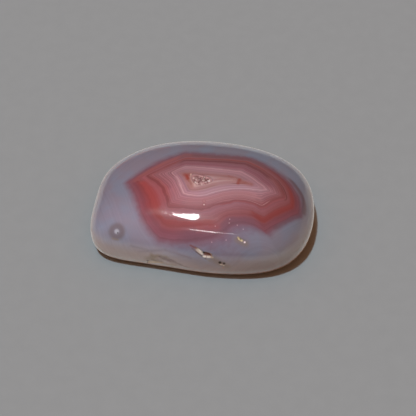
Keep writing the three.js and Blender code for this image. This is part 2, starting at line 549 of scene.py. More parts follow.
def ragged(place: Signal, size: float, amount: float, detail: float = 2.0) -> Signal:
    """Noise about 0, with lumps of a size, that moves an edge to and fro by up to half an amount."""
    return (noise(place, size, detail) - NOISE_MIDDLE) * amount


def line_noise(level: Signal, size: float) -> Signal:
    """Noise about 0.5 that changes along one value only, so that it draws lines where that value is even."""
    inputs = {"W": level, "Scale": 1 / size}
    return add_node(level.tree, "ShaderNodeTexNoise", inputs, {"noise_dimensions": "1D"})


def ramp(level: Signal, stops: Stops) -> Signal:
    """The colour at a level, which runs straight from one stop to the next.

    Args:
        level: The level.
        stops: The stops' levels, rising, and their colours.

    Returns:
        The colour.
    """
    low = stops[0][0]
    high = stops[-1][0]
    share = level.spread(low, high, 0.0, 1.0)
    node = level.tree.nodes.new("ShaderNodeValToRGB")
    elements = node.color_ramp.elements
    elements.remove(elements[1])
    for number, (place, colour) in enumerate(stops):
        element = elements[0] if number == 0 else elements.new((place - low) / (high - low))
        element.color = linear(colour)
    elements[0].position = 0.0
    level.tree.links.new(share.socket, node.inputs[0])
    return Signal(level.tree, node.outputs[0])


def new_group(name: str, inputs: dict[str, str], outputs: dict[str, str]) -> tuple[bpy.types.NodeTree, dict]:
    """An empty node group with named sockets.

    Args:
        name: The group's name.
        inputs: The name and the short type of each input: Float, Vector or Color.
        outputs: The same of each output.

    Returns:
        The group, and its inputs as signals by name.
    """
    group = bpy.data.node_groups.new(name, "ShaderNodeTree")
    for label, kind in inputs.items():
        group.interface.new_socket(label, in_out="INPUT", socket_type="NodeSocket" + kind)
    for label, kind in outputs.items():
        group.interface.new_socket(label, in_out="OUTPUT", socket_type="NodeSocket" + kind)
    entry = group.nodes.new("NodeGroupInput")
    return group, {label: Signal(group, entry.outputs[label]) for label in inputs}


def close_group(group: bpy.types.NodeTree, outputs: dict[str, Signal]) -> None:
    """Leads a group's results to its named outputs."""
    leave = group.nodes.new("NodeGroupOutput")
    for label, signal in outputs.items():
        group.links.new(signal.socket, leave.inputs[label])


def placed(tree: bpy.types.NodeTree, group: bpy.types.NodeTree, inputs: dict) -> dict[str, Signal]:
    """Places a group in a tree.

    Args:
        tree: The tree.
        group: The group.
        inputs: Each input's name, with the signal or constant that it takes.

    Returns:
        The group's outputs by name.
    """
    node = tree.nodes.new("ShaderNodeGroup")
    node.node_tree = group
    feed(tree, node, inputs)
    return {socket.name: Signal(tree, socket) for socket in node.outputs}


def new_material(name: str) -> tuple[bpy.types.Material, bpy.types.NodeTree, bpy.types.Node]:
    """A new material with one Principled BSDF.

    Args:
        name: The material's name.

    Returns:
        The material, its tree and that shader.
    """
    material = bpy.data.materials.new(name)
    material.use_nodes = True
    tree = material.node_tree
    return material, tree, tree.nodes["Principled BSDF"]


def mesh_value(tree: bpy.types.NodeTree, name: str, output: str) -> Signal:
    """What the piece's mesh carries at each point under a name: a number as Fac, or three as Vector."""
    return add_node(tree, "ShaderNodeAttribute", {}, {"attribute_name": name}, output)


def colour_signal(tree: bpy.types.NodeTree, colour: Colour) -> Signal:
    """One colour as a signal, for patterns to be mixed onto.

    Args:
        tree: The shader tree.
        colour: The display colour.

    Returns:
        The signal.
    """
    signal = add_node(tree, "ShaderNodeRGB", {})
    signal.socket.default_value = linear(colour)
    return signal


def object_place(tree: bpy.types.NodeTree) -> Signal:
    """The point's place on the piece, in millimetres."""
    place = add_node(tree, "ShaderNodeTexCoord", {}, output="Object")
    return place.vector("MULTIPLY", (MILLIMETRES_PER_METRE,) * 3)


# The bands


@dataclass(frozen=True)
class KeyBand:
    """One band followed all the way round the hollow: its level, and points along it in plan."""

    level: float
    points: tuple[Pair, ...]


@dataclass(frozen=True)
class BandPattern:
    """The bands' level all through the stone: 0 at the outermost red band and 1 at the innermost.

    Four key bands have the same number of points, in the same order, and each band between two of them runs
    through the blends of their points. Bands fold sharply at the points that are counted twice.
    """

    middle: Pair = (0.3, 0.2)
    folds: tuple[int, ...] = (0, 4, 10, 12, 16, 18)
    steps_per_span: int = 16
    blends: int = 12
    taper_start: float = 4.0
    taper: float = 0.09
    outer_spacing: float = 3.5
    core_rise: float = 0.5
    bands: tuple[KeyBand, ...] = (
        KeyBand(
            level=0.0,
            points=(
                (-9.95, 0.6), (-9.01, -1.12), (-8.22, -3.69), (-7.56, -6.05), (-5.52, -7.9),
                (-2.02, -8.51), (2.35, -7.96), (3.15, -6.86), (4.57, -6.23), (6.51, -6.5),
                (7.92, -7.41), (10.19, -5.65), (12.45, -4.0), (12.91, -2.02), (11.98, 0.52),
                (9.3, 3.01), (6.24, 4.78), (1.91, 5.15), (-2.44, 5.43), (-6.3, 3.5),
            ),
        ),
        KeyBand(
            level=0.3,
            points=(
                (-7.53, 1.36), (-6.13, 0.22), (-5.23, -1.14), (-4.78, -2.52), (-4.46, -3.89),
                (-2.05, -4.35), (0.7, -4.45), (1.85, -3.72), (4.23, -3.05), (6.29, -3.18),
                (7.66, -4.09), (9.23, -2.62), (10.76, -1.9), (10.59, -0.45), (9.63, 1.07),
                (7.94, 2.6), (5.87, 3.81), (1.91, 3.96), (-2.35, 4.24), (-4.93, 2.74),
            ),
        ),
        KeyBand(
            level=0.7,
            points=(
                (-4.08, 1.62), (-3.54, 0.8), (-3.08, -0.1), (-2.75, -1.07), (-2.46, -2.06),
                (-1.29, -2.42), (0.04, -2.5), (1.29, -1.87), (3.74, -1.15), (5.92, -1.06),
                (7.27, -1.24), (7.79, -1.21), (8.33, -1.05), (7.94, -0.49), (7.15, 0.13),
                (6.21, 0.93), (5.02, 1.74), (1.43, 2.16), (-2.4, 2.54), (-3.28, 2.14),
            ),
        ),
        KeyBand(
            level=1.0,
            points=(
                (-2.55, 1.4), (-2.28, 0.79), (-1.96, 0.05), (-1.72, -0.69), (-1.4, -1.2),
                (-1.02, -1.17), (-0.63, -0.99), (0.42, -0.55), (1.81, -0.21), (3.21, 0.0),
                (4.01, 0.08), (4.31, 0.14), (4.47, 0.15), (4.43, 0.38), (4.11, 0.45),
                (3.78, 0.53), (3.27, 0.61), (0.56, 0.92), (-2.04, 1.35), (-2.36, 1.46),
            ),
        ),
    )

    @property
    def count(self) -> int:
        """How many key points a key band has."""
        return len(self.bands[0].points)

    def order(self) -> np.ndarray:
        """The key points' numbers in turn, with each fold's number twice."""
        numbers = np.arange(self.count)
        return np.repeat(numbers, [2 if number in self.folds else 1 for number in numbers])

    def key_ring(self, band: KeyBand) -> np.ndarray:
        """A key band's fine points: a spline through its points, with the folds counted twice."""
        return closed_spline(np.array(band.points)[self.order()], self.steps_per_span)

    def turns(self) -> np.ndarray:
        """The number of the key point that each fine point lies at, with shares of one between points.

        Returns:
            One number for each fine point.
        """
        order = self.order()
        spans = np.arange(len(order) + 1)
        places = np.arange(len(order) * self.steps_per_span) / self.steps_per_span
        return np.interp(places, spans, [*order, self.count])

    def rings(self) -> tuple[np.ndarray, np.ndarray]:
        """Every ring from the outermost key band inwards.

        Returns:
            The rings' fine points by ring, number and axis, and one level for each ring.
        """
        rings = []
        levels = []
        for outer, inner in zip(self.bands, self.bands[1:]):
            for share in np.arange(self.blends) / self.blends:
                rings.append(self.key_ring(outer) * (1 - share) + self.key_ring(inner) * share)
                levels.append(outer.level * (1 - share) + inner.level * share)
        rings.append(self.key_ring(self.bands[-1]))
        levels.append(self.bands[-1].level)
        return np.array(rings), np.array(levels)

    def measure(self, points: np.ndarray) -> tuple[np.ndarray, np.ndarray]:
        """The level at each point, and the number of the key point that it lies nearest to as it goes round.

        In a point's direction from the middle, the level runs straight between the two rings that it lies
        between. It falls by 1 each outer_spacing outside the outermost ring and rises by core_rise inside
        the innermost one. It also falls by taper for each millimetre below taper_start, because the bands
        narrow towards the base.

        Args:
            points: Places in millimetres, one x, y and z a row.

        Returns:
            One level and one turn for each point.
        """
        rings, levels = self.rings()
        middle = np.array(self.middle)
        arms = points[:, :2] - middle
        angles = np.arctan2(arms[:, 1], arms[:, 0])
        reach = np.hypot(*arms.T)
        radii = np.array([polar_radius(ring, middle, angles) for ring in rings])
        phase = np.exp(2j * math.pi * self.turns() / self.count)
        phases = np.array([polar_value(ring, middle, angles, phase) for ring in rings])
        passed = np.clip((radii > reach).sum(axis=0), 1, len(levels) - 1)
        column = np.arange(len(points))
        outer = radii[passed - 1, column]
        inner = radii[passed, column]
        share = np.clip((outer - reach) / (outer - inner), 0.0, 1.0)
        level = levels[passed - 1] + (levels[passed] - levels[passed - 1]) * share
        level = np.where(reach > radii[0], (radii[0] - reach) / self.outer_spacing, level)
        level = np.where(reach < radii[-1], 1 + self.core_rise * (1 - reach / radii[-1]), level)
        level = level - self.taper * np.maximum(self.taper_start - points[:, 2], 0.0)
        turn = np.angle(np.where(share > 0.5, phases[passed, column], phases[passed - 1, column]))
        return level, np.mod(turn / (2 * math.pi), 1.0) * self.count


class Zone(Enum):
    """The zones of the stone that a tone's numbers stand for, in their order."""

    OUTSIDE = 0
    OUTER_BANDS = 1
    CORE_BANDS = 2


@dataclass(frozen=True)
class Tone:
    """How the stone's colours differ on one side, at a key point of the bands.

    Lightness multiplies a colour and redness takes green and blue out of it. Both hold a number for each
    zone. Lightness is partly the stone's own colour and partly painted light and shade: lighter at the front
    and left, darker at the back and right. The edge gives the levels over which red covers the grey outside.
    """

    point: float
    lightness: Vec3 = (1.0, 1.0, 1.0)
    redness: Vec3 = (0.0, 0.0, 0.0)
    edge: Pair = (-0.1, 0.03)


@dataclass(frozen=True)
class Streak:
    """A band that stands out on one side: its level, half width and the key points that it runs between."""

    level: float
    width: float
    first: float
    last: float
    colour: Colour
    strength: float

    def painted(
        self, colour: Signal, level: Signal, side: Signal, mask: bpy.types.NodeTree, count: int
    ) -> Signal:
        """The colour with the streak on it.

        Args:
            colour: The colour so far.
            level: The bands' level.
            side: The direction of the key point that the place lies at, on a circle.
            mask: The streak_mask group.
            count: How many key points there are.

        Returns:
            The new colour.
        """
        turn = math.pi * (self.first + self.last) / count
        inputs = {
            "Level": level,
            "Side": side,
            "Place": self.level,
            "Width": self.width,
            "Middle": (math.cos(turn), math.sin(turn), 0.0),
            "Reach": math.pi * (self.last - self.first) / count,
        }
        share = placed(colour.tree, mask, inputs)["Mask"] * self.strength
        return mixed(share, colour, linear(self.colour))


def streak_mask() -> bpy.types.NodeTree:
    """The node group of a streak: 1 at its level and side, and fading to both edges and both ends.

    The mask across is 1 - (offset / Width)^2, at least 0. Along the streak it is a smooth step of
    1 - (angle / Reach)^2 from 0 to a half, where the angle's cosine is the product of Side and Middle.

    Returns:
        The group.
    """
    inputs = {name: "Vector" for name in ("Side", "Middle")}
    inputs |= {name: "Float" for name in ("Level", "Place", "Width", "Reach")}
    group, entry = new_group("streak_mask", inputs, {"Mask": "Float"})
    across = (entry["Level"] - entry["Place"]) / entry["Width"]
    side = entry["Side"].vector("NORMALIZE")
    angle = side.vector("DOT_PRODUCT", entry["Middle"], output="Value").math("ARCCOSINE")
    along = angle / entry["Reach"]
    mask_across = (1.0 - across * across).math("MAXIMUM", 0.0)
    mask_along = (1.0 - along * along).step(0.0, 0.5)
    close_group(group, {"Mask": mask_across * mask_along})
    return group


@dataclass(frozen=True)
class Mark:
    """A spot or streak in the stone: a soft-edged capsule between two places, of one colour."""

    start: Vec3
    end: Vec3
    radius: float
    softness: float
    colour: Colour
    strength: float = 1.0

    def painted(self, colour: Signal, place: Signal, mask: bpy.types.NodeTree) -> Signal:
        """The colour with the mark on it.

        Args:
            colour: The colour so far.
            place: The place in the stone, in millimetres.
            mask: The capsule_mask group.

        Returns:
            The new colour.
        """
        inputs = {
            "Place": place,
            "Start": self.start,
            "End": self.end,
            "Radius": self.radius,
            "Softness": self.softness,
            "Strength": self.strength,
        }
        share = placed(colour.tree, mask, inputs)["Mask"]
        return mixed(share, colour, linear(self.colour))


def dot(place: Vec3, radius: float, softness: float, colour: Colour, strength: float = 1.0) -> Mark:
    """A round mark at one place."""
    return Mark(place, place, radius, softness, colour, strength)


SHORTEST_SQUARED = 1e-6


def capsule_mask() -> bpy.types.NodeTree:
    """The node group of a mark: 1 near the line from Start to End, and fading beyond its Radius.

    The line's nearest point to Place lies the share h of the way along. That is the product of the line and
    Place's offset from Start, over the line's squared length, kept from 0 to 1. A mark may be a single point,
    so a small number keeps that length above 0.

    Returns:
        The group.
    """
    inputs = {name: "Vector" for name in ("Place", "Start", "End")}
    inputs |= {name: "Float" for name in ("Radius", "Softness", "Strength")}
    group, entry = new_group("capsule_mask", inputs, {"Mask": "Float"})
    line = entry["End"].vector("SUBTRACT", entry["Start"])
    offset = entry["Place"].vector("SUBTRACT", entry["Start"])
    squared = line.vector("DOT_PRODUCT", line, output="Value") + SHORTEST_SQUARED
    passed = offset.vector("DOT_PRODUCT", line, output="Value")
    share = (passed / squared).math("MAXIMUM", 0.0).math("MINIMUM", 1.0)
    nearest = add_node(group, "ShaderNodeVectorMath", {0: line, "Scale": share}, {"operation": "SCALE"})
    distance = offset.vector("DISTANCE", nearest, output="Value")
    edge = (entry["Radius"] + entry["Softness"] - distance) / (entry["Softness"] * 2.0)
    close_group(group, {"Mask": edge.step(0.0, 1.0) * entry["Strength"]})
    return group


@dataclass(frozen=True)
class GreyChalcedony:
    """The plain stone outside the bands: bluish and mauve clouds, with a beige and a brown foot. The beige
    foot is partly the stone's own colour and partly painted light: a paler, warmer lower wall for light
    glowing through the stone's edge.

    A raggedness is the size and the amount of the unevenness of a foot's upper edge, and the beige foot
    stands higher by a share of the distance from the middle, on each side its own.
    """

    blue_grey: Colour = (126, 134, 152)
    mauve: Colour = (131, 129, 144)
    cloud_size: float = 5.0
    cloud_edge: Pair = (0.4, 0.6)
    foot: Colour = (145, 137, 139)
    foot_heights: Pair = (4.6, 1.8)
    foot_raggedness: Pair = (3.0, 2.0)
    rise_right: float = 0.15
    rise_left: float = 0.1
    brown_foot: Colour = (122, 95, 92)
    brown_heights: Pair = (4.4, 2.0)
    brown_raggedness: Pair = (2.0, 1.0)
    brown_reach: float = 11.0
    line_size: float = 0.09
    line_strength: float = 0.05

    def painted(self, place: Signal, level: Signal) -> Signal:
        """The colour at a place, with faint lines along the level of the bands.

        Args:
            place: The place in the stone, in millimetres.
            level: The bands' level there.

        Returns:
            The colour.
        """
        cloud = noise(place, self.cloud_size, detail=3.0).step(*self.cloud_edge)
        colour = mixed(cloud, colour_signal(place.tree, self.blue_grey), linear(self.mauve))
        across = place.axis("X")
        height = place.axis("Z")
        rise = across.math("MAXIMUM", 0.0) * self.rise_right - across.math("MINIMUM", 0.0) * self.rise_left
        # The beige foot: partly painted glow of light through the lower wall, partly the stone's own colour.
        low = (height - rise + ragged(place, *self.foot_raggedness)).step(*self.foot_heights)
        colour = mixed(low, colour, linear(self.foot))
        brown = (height + ragged(place, *self.brown_raggedness)).step(*self.brown_heights)
        brown = brown * across.step(0.0, self.brown_reach)
        colour = mixed(brown, colour, linear(self.brown_foot))
        lines = line_noise(level, self.line_size)
        shade = lines.spread(*NOISE_RANGE, 1 - self.line_strength, 1 + self.line_strength)
        return colour.vector("MULTIPLY", shade)


@dataclass(frozen=True)
class PolishedAgate:
    """The finish of the stone: banded chalcedony with a high polish.

    Tones colour it side by side, streaks band by band, and marks and specks spot by spot. The lines are the
    sizes and strengths of its fine bands, and the ripples the sizes and amounts of every band's unevenness.
    """

    roughness: float = 0.02
    ior: float = 1.54
    haze: float = 0.45
    haze_roughness: float = 0.23
    glow: float = 0.8
    glow_reach: Vec3 = (1.1, 0.8, 0.7)
    pit_roughness: float = 0.55
    halves: Pair = (0.3, 0.6)
    # The tones' lightness is partly painted light and shade: lighter at the front and left, darker at the
    # back and right.
    tones: tuple[Tone, ...] = (
        Tone(0.8, (1.0, 1.1, 1.0), (0.0, 0.25, 0.1), (-0.35, 0.08)),
        Tone(2.3, (1.28, 1.35, 1.21), (0.0, 0.3, 0.08), (-0.35, 0.08)),
        Tone(4.2, (1.42, 1.32, 1.3), (0.0, 0.0, 0.02), (-0.3, 0.06)),
        Tone(5.3, (1.08, 1.32, 1.3), (0.12, -0.2, -0.04), (-0.5, 0.02)),
        Tone(6.5, (0.98, 1.28, 1.25), (0.08, -0.2, -0.08), (-1.1, 0.02)),
        Tone(8.0, (0.98, 1.2, 1.15), (0.0, -0.18, -0.1), (-0.95, 0.02)),
        Tone(9.5, (0.92, 1.02, 1.1), (-0.08, 0.0, -0.08), (-0.6, 0.0)),
        Tone(10.3, (0.84, 0.96, 1.08), (-0.06, 0.1, -0.08), (-0.35, 0.0)),
        Tone(12.7, (0.63, 0.78, 0.92), (0.0, 0.18, 0.03), (-0.3, 0.06)),
        Tone(14.6, (0.76, 0.74, 0.86), (-0.08, 0.0, 0.03), (-0.3, 0.1)),
        Tone(17.0, (0.76, 0.72, 0.98), (-0.13, -0.2, -0.01), (-0.25, 0.2)),
        Tone(18.9, (0.91, 0.98, 0.9), (0.02, 0.05, 0.06), (-0.35, 0.08)),
    )
    bands: Stops = (
        (-1.0, (112, 96, 116)),
        (-0.3, (112, 84, 104)),
        (-0.1, (118, 80, 96)),
        (0.05, (122, 76, 90)),
        (0.1, (128, 72, 80)),
        (0.15, (135, 81, 88)),
        (0.2, (136, 86, 95)),
        (0.25, (141, 94, 105)),
        (0.28, (134, 85, 93)),
        (0.31, (130, 80, 87)),
        (0.34, (138, 90, 97)),
        (0.38, (136, 90, 99)),
        (0.45, (143, 103, 113)),
        (0.55, (150, 108, 118)),
        (0.6, (156, 115, 126)),
        (0.66, (156, 120, 130)),
        (0.69, (172, 140, 148)),
        (0.72, (163, 128, 138)),
        (0.8, (157, 122, 133)),
        (0.88, (156, 122, 128)),
        (0.94, (153, 115, 119)),
        (1.0, (158, 122, 124)),
        (1.1, (170, 139, 140)),
        (1.5, (179, 145, 151)),
    )
    streaks: tuple[Streak, ...] = (
        Streak(0.165, 0.07, 0.2, 3.4, (162, 68, 70), 0.6),
        Streak(0.24, 0.03, -0.5, 4.0, (158, 90, 98), 0.5),
        Streak(0.31, 0.03, -0.8, 4.2, (112, 56, 62), 0.35),
        Streak(0.36, 0.025, 0.5, 3.5, (160, 98, 100), 0.5),
        Streak(0.46, 0.03, 1.8, 4.4, (146, 100, 116), 0.6),
        Streak(0.72, 0.018, 0.6, 3.0, (206, 168, 172), 0.6),
        Streak(0.68, 0.02, 2.2, 5.4, (206, 168, 170), 0.6),
        Streak(0.665, 0.014, -1.0, 1.0, (112, 72, 82), 0.6),
        Streak(1.04, 0.05, -0.4, 3.4, (140, 78, 74), 0.6),
        Streak(0.83, 0.05, 0.4, 4.6, (148, 118, 136), 0.5),
        Streak(0.9, 0.03, 2.5, 8.0, (150, 114, 106), 0.6),
        Streak(0.13, 0.035, 2.8, 6.4, (150, 62, 66), 0.45),
        Streak(-0.02, 0.11, 4.4, 9.6, (110, 80, 96), 0.55),
        Streak(0.5, 0.16, 4.2, 10.4, (180, 130, 134), 0.45),
        Streak(0.46, 0.1, 2.2, 4.6, (182, 120, 130), 0.35),
        Streak(0.52, 0.12, 12.6, 19.0, (113, 67, 85), 0.5),
        Streak(0.1, 0.08, 17.8, 20.2, (160, 106, 108), 0.4),
        Streak(0.83, 0.05, 9.6, 14.2, (168, 128, 138), 0.4),
        Streak(-0.12, 0.12, 10.3, 12.2, (96, 74, 90), 0.5),
        Streak(0.13, 0.05, 8.6, 13.8, (132, 52, 54), 0.6),
        Streak(0.28, 0.02, 6.6, 12.4, (148, 84, 92), 0.6),
        Streak(0.33, 0.015, 6.6, 11.0, (176, 134, 142), 0.6),
        Streak(0.9, 0.02, 8.6, 12.2, (130, 78, 76), 0.7),
        Streak(0.25, 0.02, 11.8, 14.2, (92, 50, 50), 0.6),
        Streak(-0.22, 0.12, 11.9, 14.6, (88, 72, 80), 0.85),
        Streak(0.27, 0.03, 14.6, 19.4, (136, 70, 70), 0.7),
        Streak(0.38, 0.05, 13.8, 18.6, (100, 56, 66), 0.75),
        Streak(0.13, 0.1, 14.8, 18.4, (98, 86, 98), 0.4),
        Streak(0.7, 0.02, 10.5, 16.5, (172, 130, 142), 0.6),
        Streak(0.97, 0.015, 12.0, 16.6, (132, 84, 82), 0.5),
    )
    lines: tuple[Pair, ...] = ((0.05, 0.12), (0.02, 0.16))
    finest_from: Pair = (0.32, 0.4)
    finest_to: Pair = (0.68, 0.62)
    lines_elsewhere: float = 0.6
    outside: GreyChalcedony = GreyChalcedony()
    fray_size: float = 0.7
    fray: float = 2.4
    ripples: tuple[Pair, ...] = ((1.6, 0.05), (0.35, 0.014))
    pit_edge: float = 0.1
    # The pits' own brown, with painted shade: darker the deeper a point is sunk.
    pit_colours_and_shade: Stops = (
        (0.0, (156, 140, 130)),
        (0.1, (156, 132, 118)),
        (0.3, (108, 74, 68)),
    )
    stain_flow: Pair = (0.9, 1.2)
    # Real stains of the inclusion, and one painted shade low on the front wall.
    stains_and_shade: tuple[Mark, ...] = (
        Mark((-7.3, -8.62, 2.3), (-6.5, -8.78, 3.1), 0.5, 0.45, (134, 120, 104), 0.65),
        Mark((-6.5, -8.78, 3.1), (-5.0, -9.1, 3.2), 0.5, 0.45, (134, 120, 104), 0.65),
        Mark((-5.5, -9.02, 3.1), (-4.2, -9.25, 2.8), 0.16, 0.35, (102, 80, 88), 0.8),
        Mark((-4.4, -9.23, 2.7), (-2.9, -9.5, 2.1), 0.24, 0.4, (106, 84, 92), 0.75),
        Mark((-2.9, -9.5, 2.1), (-1.9, -9.65, 1.8), 0.12, 0.2, (118, 96, 102), 0.6),
        Mark((-6.6, -8.8, 2.35), (-5.5, -9.0, 2.3), 0.16, 0.3, (112, 90, 64), 0.8),
        Mark((-7.0, -8.58, 1.65), (-6.3, -8.8, 1.9), 0.24, 0.14, (186, 168, 138)),
        Mark((-6.3, -8.8, 1.9), (-5.4, -8.98, 1.8), 0.22, 0.14, (172, 156, 128)),
        Mark((-5.4, -8.98, 1.75), (-3.8, -9.3, 1.75), 0.12, 0.4, (128, 110, 92), 0.8),
        # Painted shade: a dark patch low on the front wall, near the base.
        Mark((-5.0, -8.85, 1.1), (-3.4, -9.2, 1.2), 0.12, 0.5, (78, 50, 40), 0.6),
    )
    marks: tuple[Mark, ...] = (
        # The white-lined crevice in the front wall, from its reddish upper end
        Mark((-1.6, -8.93, 5.55), (-0.95, -9.2, 5.37), 0.12, 0.12, (132, 82, 82), 0.8),
        Mark((-1.4, -9.2, 5.25), (-0.85, -9.5, 4.95), 0.06, 0.1, (112, 98, 88), 0.7),
        # Painted shade along the lower edge of the white rim.
        Mark((-0.85, -9.5, 4.95), (0.02, -9.88, 4.42), 0.09, 0.1, (92, 76, 68), 0.9),
        # Painted shade: a dark hole in the crevice.
        Mark((-0.72, -9.29, 5.29), (-0.68, -9.31, 5.27), 0.08, 0.06, (70, 52, 48), 0.9),
        Mark((-0.66, -9.38, 5.15), (-0.1, -9.66, 4.82), 0.2, 0.12, (204, 196, 184)),
        Mark((-0.5, -9.42, 5.12), (-0.3, -9.54, 4.98), 0.08, 0.08, (238, 232, 224)),
        Mark((0.2, -9.7, 4.88), (0.95, -9.85, 4.7), 0.2, 0.12, (112, 72, 68), 0.9),
        # Painted shade: the near-black deepest hole of the crevice.
        Mark((0.07, -9.64, 4.95), (0.12, -9.66, 4.93), 0.14, 0.07, (36, 24, 22)),
        Mark((0.95, -9.82, 4.82), (1.15, -9.9, 4.68), 0.06, 0.07, (196, 180, 166), 0.8),
        Mark((0.1, -9.88, 4.46), (0.28, -9.91, 4.42), 0.13, 0.08, (232, 224, 214)),
        Mark((0.58, -9.96, 4.42), (1.25, -10.0, 4.42), 0.13, 0.09, (206, 194, 182)),
        Mark((0.62, -9.96, 4.4), (0.9, -9.98, 4.42), 0.06, 0.06, (238, 230, 222)),
        Mark((0.3, -9.98, 4.2), (0.4, -10.0, 4.1), 0.08, 0.08, (96, 76, 68), 0.8),
        Mark((0.5, -10.02, 4.15), (0.9, -10.14, 3.75), 0.07, 0.1, (136, 128, 116), 0.8),
        # The two holes beside it, painted near-black: painted shade inside them
        Mark((1.3, -10.05, 4.2), (3.1, -10.4, 3.0), 0.45, 0.45, (126, 108, 90), 0.6),
        dot((2.2, -10.3, 3.7), 0.2, 0.08, (26, 18, 16)),
        dot((2.74, -10.35, 3.58), 0.16, 0.08, (26, 18, 16)),
        Mark((2.25, -10.33, 3.33), (2.5, -10.35, 3.28), 0.06, 0.07, (206, 190, 168)),
        dot((2.7, -10.37, 3.14), 0.08, 0.07, (206, 190, 168)),
        dot((2.61, -10.36, 2.66), 0.1, 0.1, (170, 118, 74), 0.7),
        # The yellow-lined pit above them
        Mark((4.7, -8.6, 6.3), (5.3, -8.8, 6.1), 0.9, 0.5, (126, 122, 140), 0.5),
        Mark((4.5, -8.6, 6.25), (5.5, -8.98, 5.95), 0.35, 0.35, (132, 122, 112), 0.7),
        Mark((4.52, -8.35, 6.46), (4.66, -8.5, 6.36), 0.09, 0.09, (204, 192, 152)),
        Mark((4.66, -8.5, 6.36), (5.01, -8.68, 6.25), 0.11, 0.09, (232, 222, 184)),
        Mark((4.8, -8.48, 6.38), (4.86, -8.54, 6.34), 0.1, 0.09, (110, 112, 72), 0.85),
        dot((5.38, -8.86, 6.11), 0.11, 0.07, (246, 240, 246)),
        # The dark hole at the end of the stain, painted dark: painted shade inside it
        dot((-7.25, -8.54, 1.85), 0.16, 0.12, (60, 48, 44)),
        # Faint lines along the upper left rim and across the lower left
        Mark((-11.71, 4.14, 5.93), (-8.93, 6.43, 6.26), 0.1, 0.22, (152, 110, 118), 0.8),
        Mark((-8.93, 6.43, 6.26), (-4.6, 7.2, 6.8), 0.1, 0.22, (146, 106, 114), 0.6),
        Mark((-9.4, -8.1, 4.4), (-7.2, -8.75, 4.2), 0.12, 0.25, (122, 114, 118), 0.6),
        Mark((-8.3, -8.3, 3.6), (-4.9, -9.0, 4.6), 0.12, 0.3, (124, 112, 122), 0.6),
        Mark((-4.9, -9.0, 4.6), (-1.6, -9.7, 3.9), 0.12, 0.3, (122, 106, 118), 0.6),
        # The eye at the lower left
        dot((-11.21, -6.75, 5.7), 1.12, 0.35, (120, 112, 118), 0.75),
        dot((-11.21, -6.75, 5.7), 0.5, 0.2, (130, 128, 142), 0.8),
        dot((-11.21, -6.75, 5.7), 0.3, 0.16, (186, 190, 200)),
        dot((-11.08, -6.9, 5.6), 0.1, 0.07, (84, 86, 92)),
        Mark((-11.78, -7.28, 4.9), (-11.06, -7.5, 4.9), 0.1, 0.14, (150, 136, 110), 0.5),
        # A redder stretch of the front bands
        Mark((-0.5, -7.3, 7.0), (1.9, -7.2, 7.0), 0.3, 0.5, (184, 92, 92), 0.35),
        # The red and beige edges of the hollow
        Mark((-2.4, 1.15, 8.0), (-1.85, 1.15, 8.0), 0.26, 0.2, (142, 82, 80), 0.8),
        Mark((-2.15, 0.9, 8.0), (-2.0, 0.4, 8.0), 0.24, 0.2, (150, 70, 66), 0.95),
        Mark((-2.0, 0.3, 8.0), (-1.88, -0.1, 8.0), 0.06, 0.16, (146, 80, 76), 0.8),
        Mark((-1.75, 0.2, 8.0), (-1.45, -1.0, 8.0), 0.14, 0.22, (168, 124, 116), 0.7),
        Mark((-1.35, 1.35, 8.0), (0.7, 1.12, 8.0), 0.05, 0.12, (130, 86, 88), 0.8),
        Mark((0.7, 1.12, 8.0), (3.4, 0.95, 8.0), 0.05, 0.14, (144, 98, 96), 0.8),
        Mark((3.4, 0.95, 8.0), (4.75, 0.55, 8.0), 0.1, 0.14, (142, 84, 80), 0.8),
        # The beige wedge beside the hollow, with its red end
        Mark((1.1, 0.0, 8.0), (2.4, 0.3, 8.0), 0.1, 0.16, (156, 114, 116), 0.7),
        Mark((2.4, 0.3, 8.0), (4.2, 0.48, 8.0), 0.16, 0.16, (162, 126, 127), 0.75),
        Mark((4.3, 0.52, 8.0), (4.6, 0.3, 8.0), 0.08, 0.12, (182, 142, 134), 0.8),
        Mark((4.85, 0.3, 7.9), (4.65, -0.3, 7.9), 0.2, 0.22, (140, 62, 58), 0.9),
        Mark((4.9, -0.05, 7.9), (6.4, -0.35, 7.8), 0.26, 0.28, (146, 92, 88), 0.75),
        # The pale edge of the hollow and the line that leaves it
        Mark((-1.62, 1.2, 8.0), (-1.05, -0.8, 8.0), 0.1, 0.1, (206, 178, 170)),
        Mark((-1.0, -0.95, 8.0), (0.9, -0.42, 8.0), 0.1, 0.14, (192, 166, 160), 0.85),
        Mark((0.9, -0.42, 8.0), (2.0, -0.05, 8.0), 0.05, 0.12, (190, 160, 158), 0.7),
        # Two ringed specks in the pink bands
        dot((0.14, -3.37, 7.85), 0.22, 0.1, (158, 104, 110), 0.6),
        dot((0.14, -3.37, 7.85), 0.1, 0.08, (190, 150, 154), 0.8),
        dot((0.14, -3.93, 7.78), 0.28, 0.1, (156, 100, 106), 0.6),
        dot((0.14, -3.93, 7.78), 0.09, 0.08, (226, 206, 206)),
    )
    speck_radius: float = 0.05
    speck_softness: float = 0.07
    speck_colour: Colour = (226, 196, 208)
    speck_strength: float = 0.8
    specks: tuple[Vec3, ...] = (
        (1.6, -6.97, 7.07),
        (3.4, -6.58, 7.24),
        (4.44, -6.85, 7.14),
        (5.2, -7.35, 6.93),
        (2.99, -8.63, 6.28),
        (1.15, -8.8, 6.06),
        (3.47, -6.06, 7.39),
    )

    def tint(self, level: np.ndarray, turn: np.ndarray, count: int) -> tuple[np.ndarray, np.ndarray]:
        """The colour that each point's own is multiplied by, and how far red covers the grey there.

        Every value runs straight from one tone to the next round the stone.

        Args:
            level: Each point's level.
            turn: The number of the key point that each lies at.
            count: How many key points there are.

        Returns:
            One red, green and blue a row, and one cover from 0 to 1 for each point.
        """
        stations = [tone.point for tone in self.tones]

        def around(values: list[float]) -> np.ndarray:
            """A value of the tones, between one and the next."""
            return np.interp(turn, stations, values, period=count)

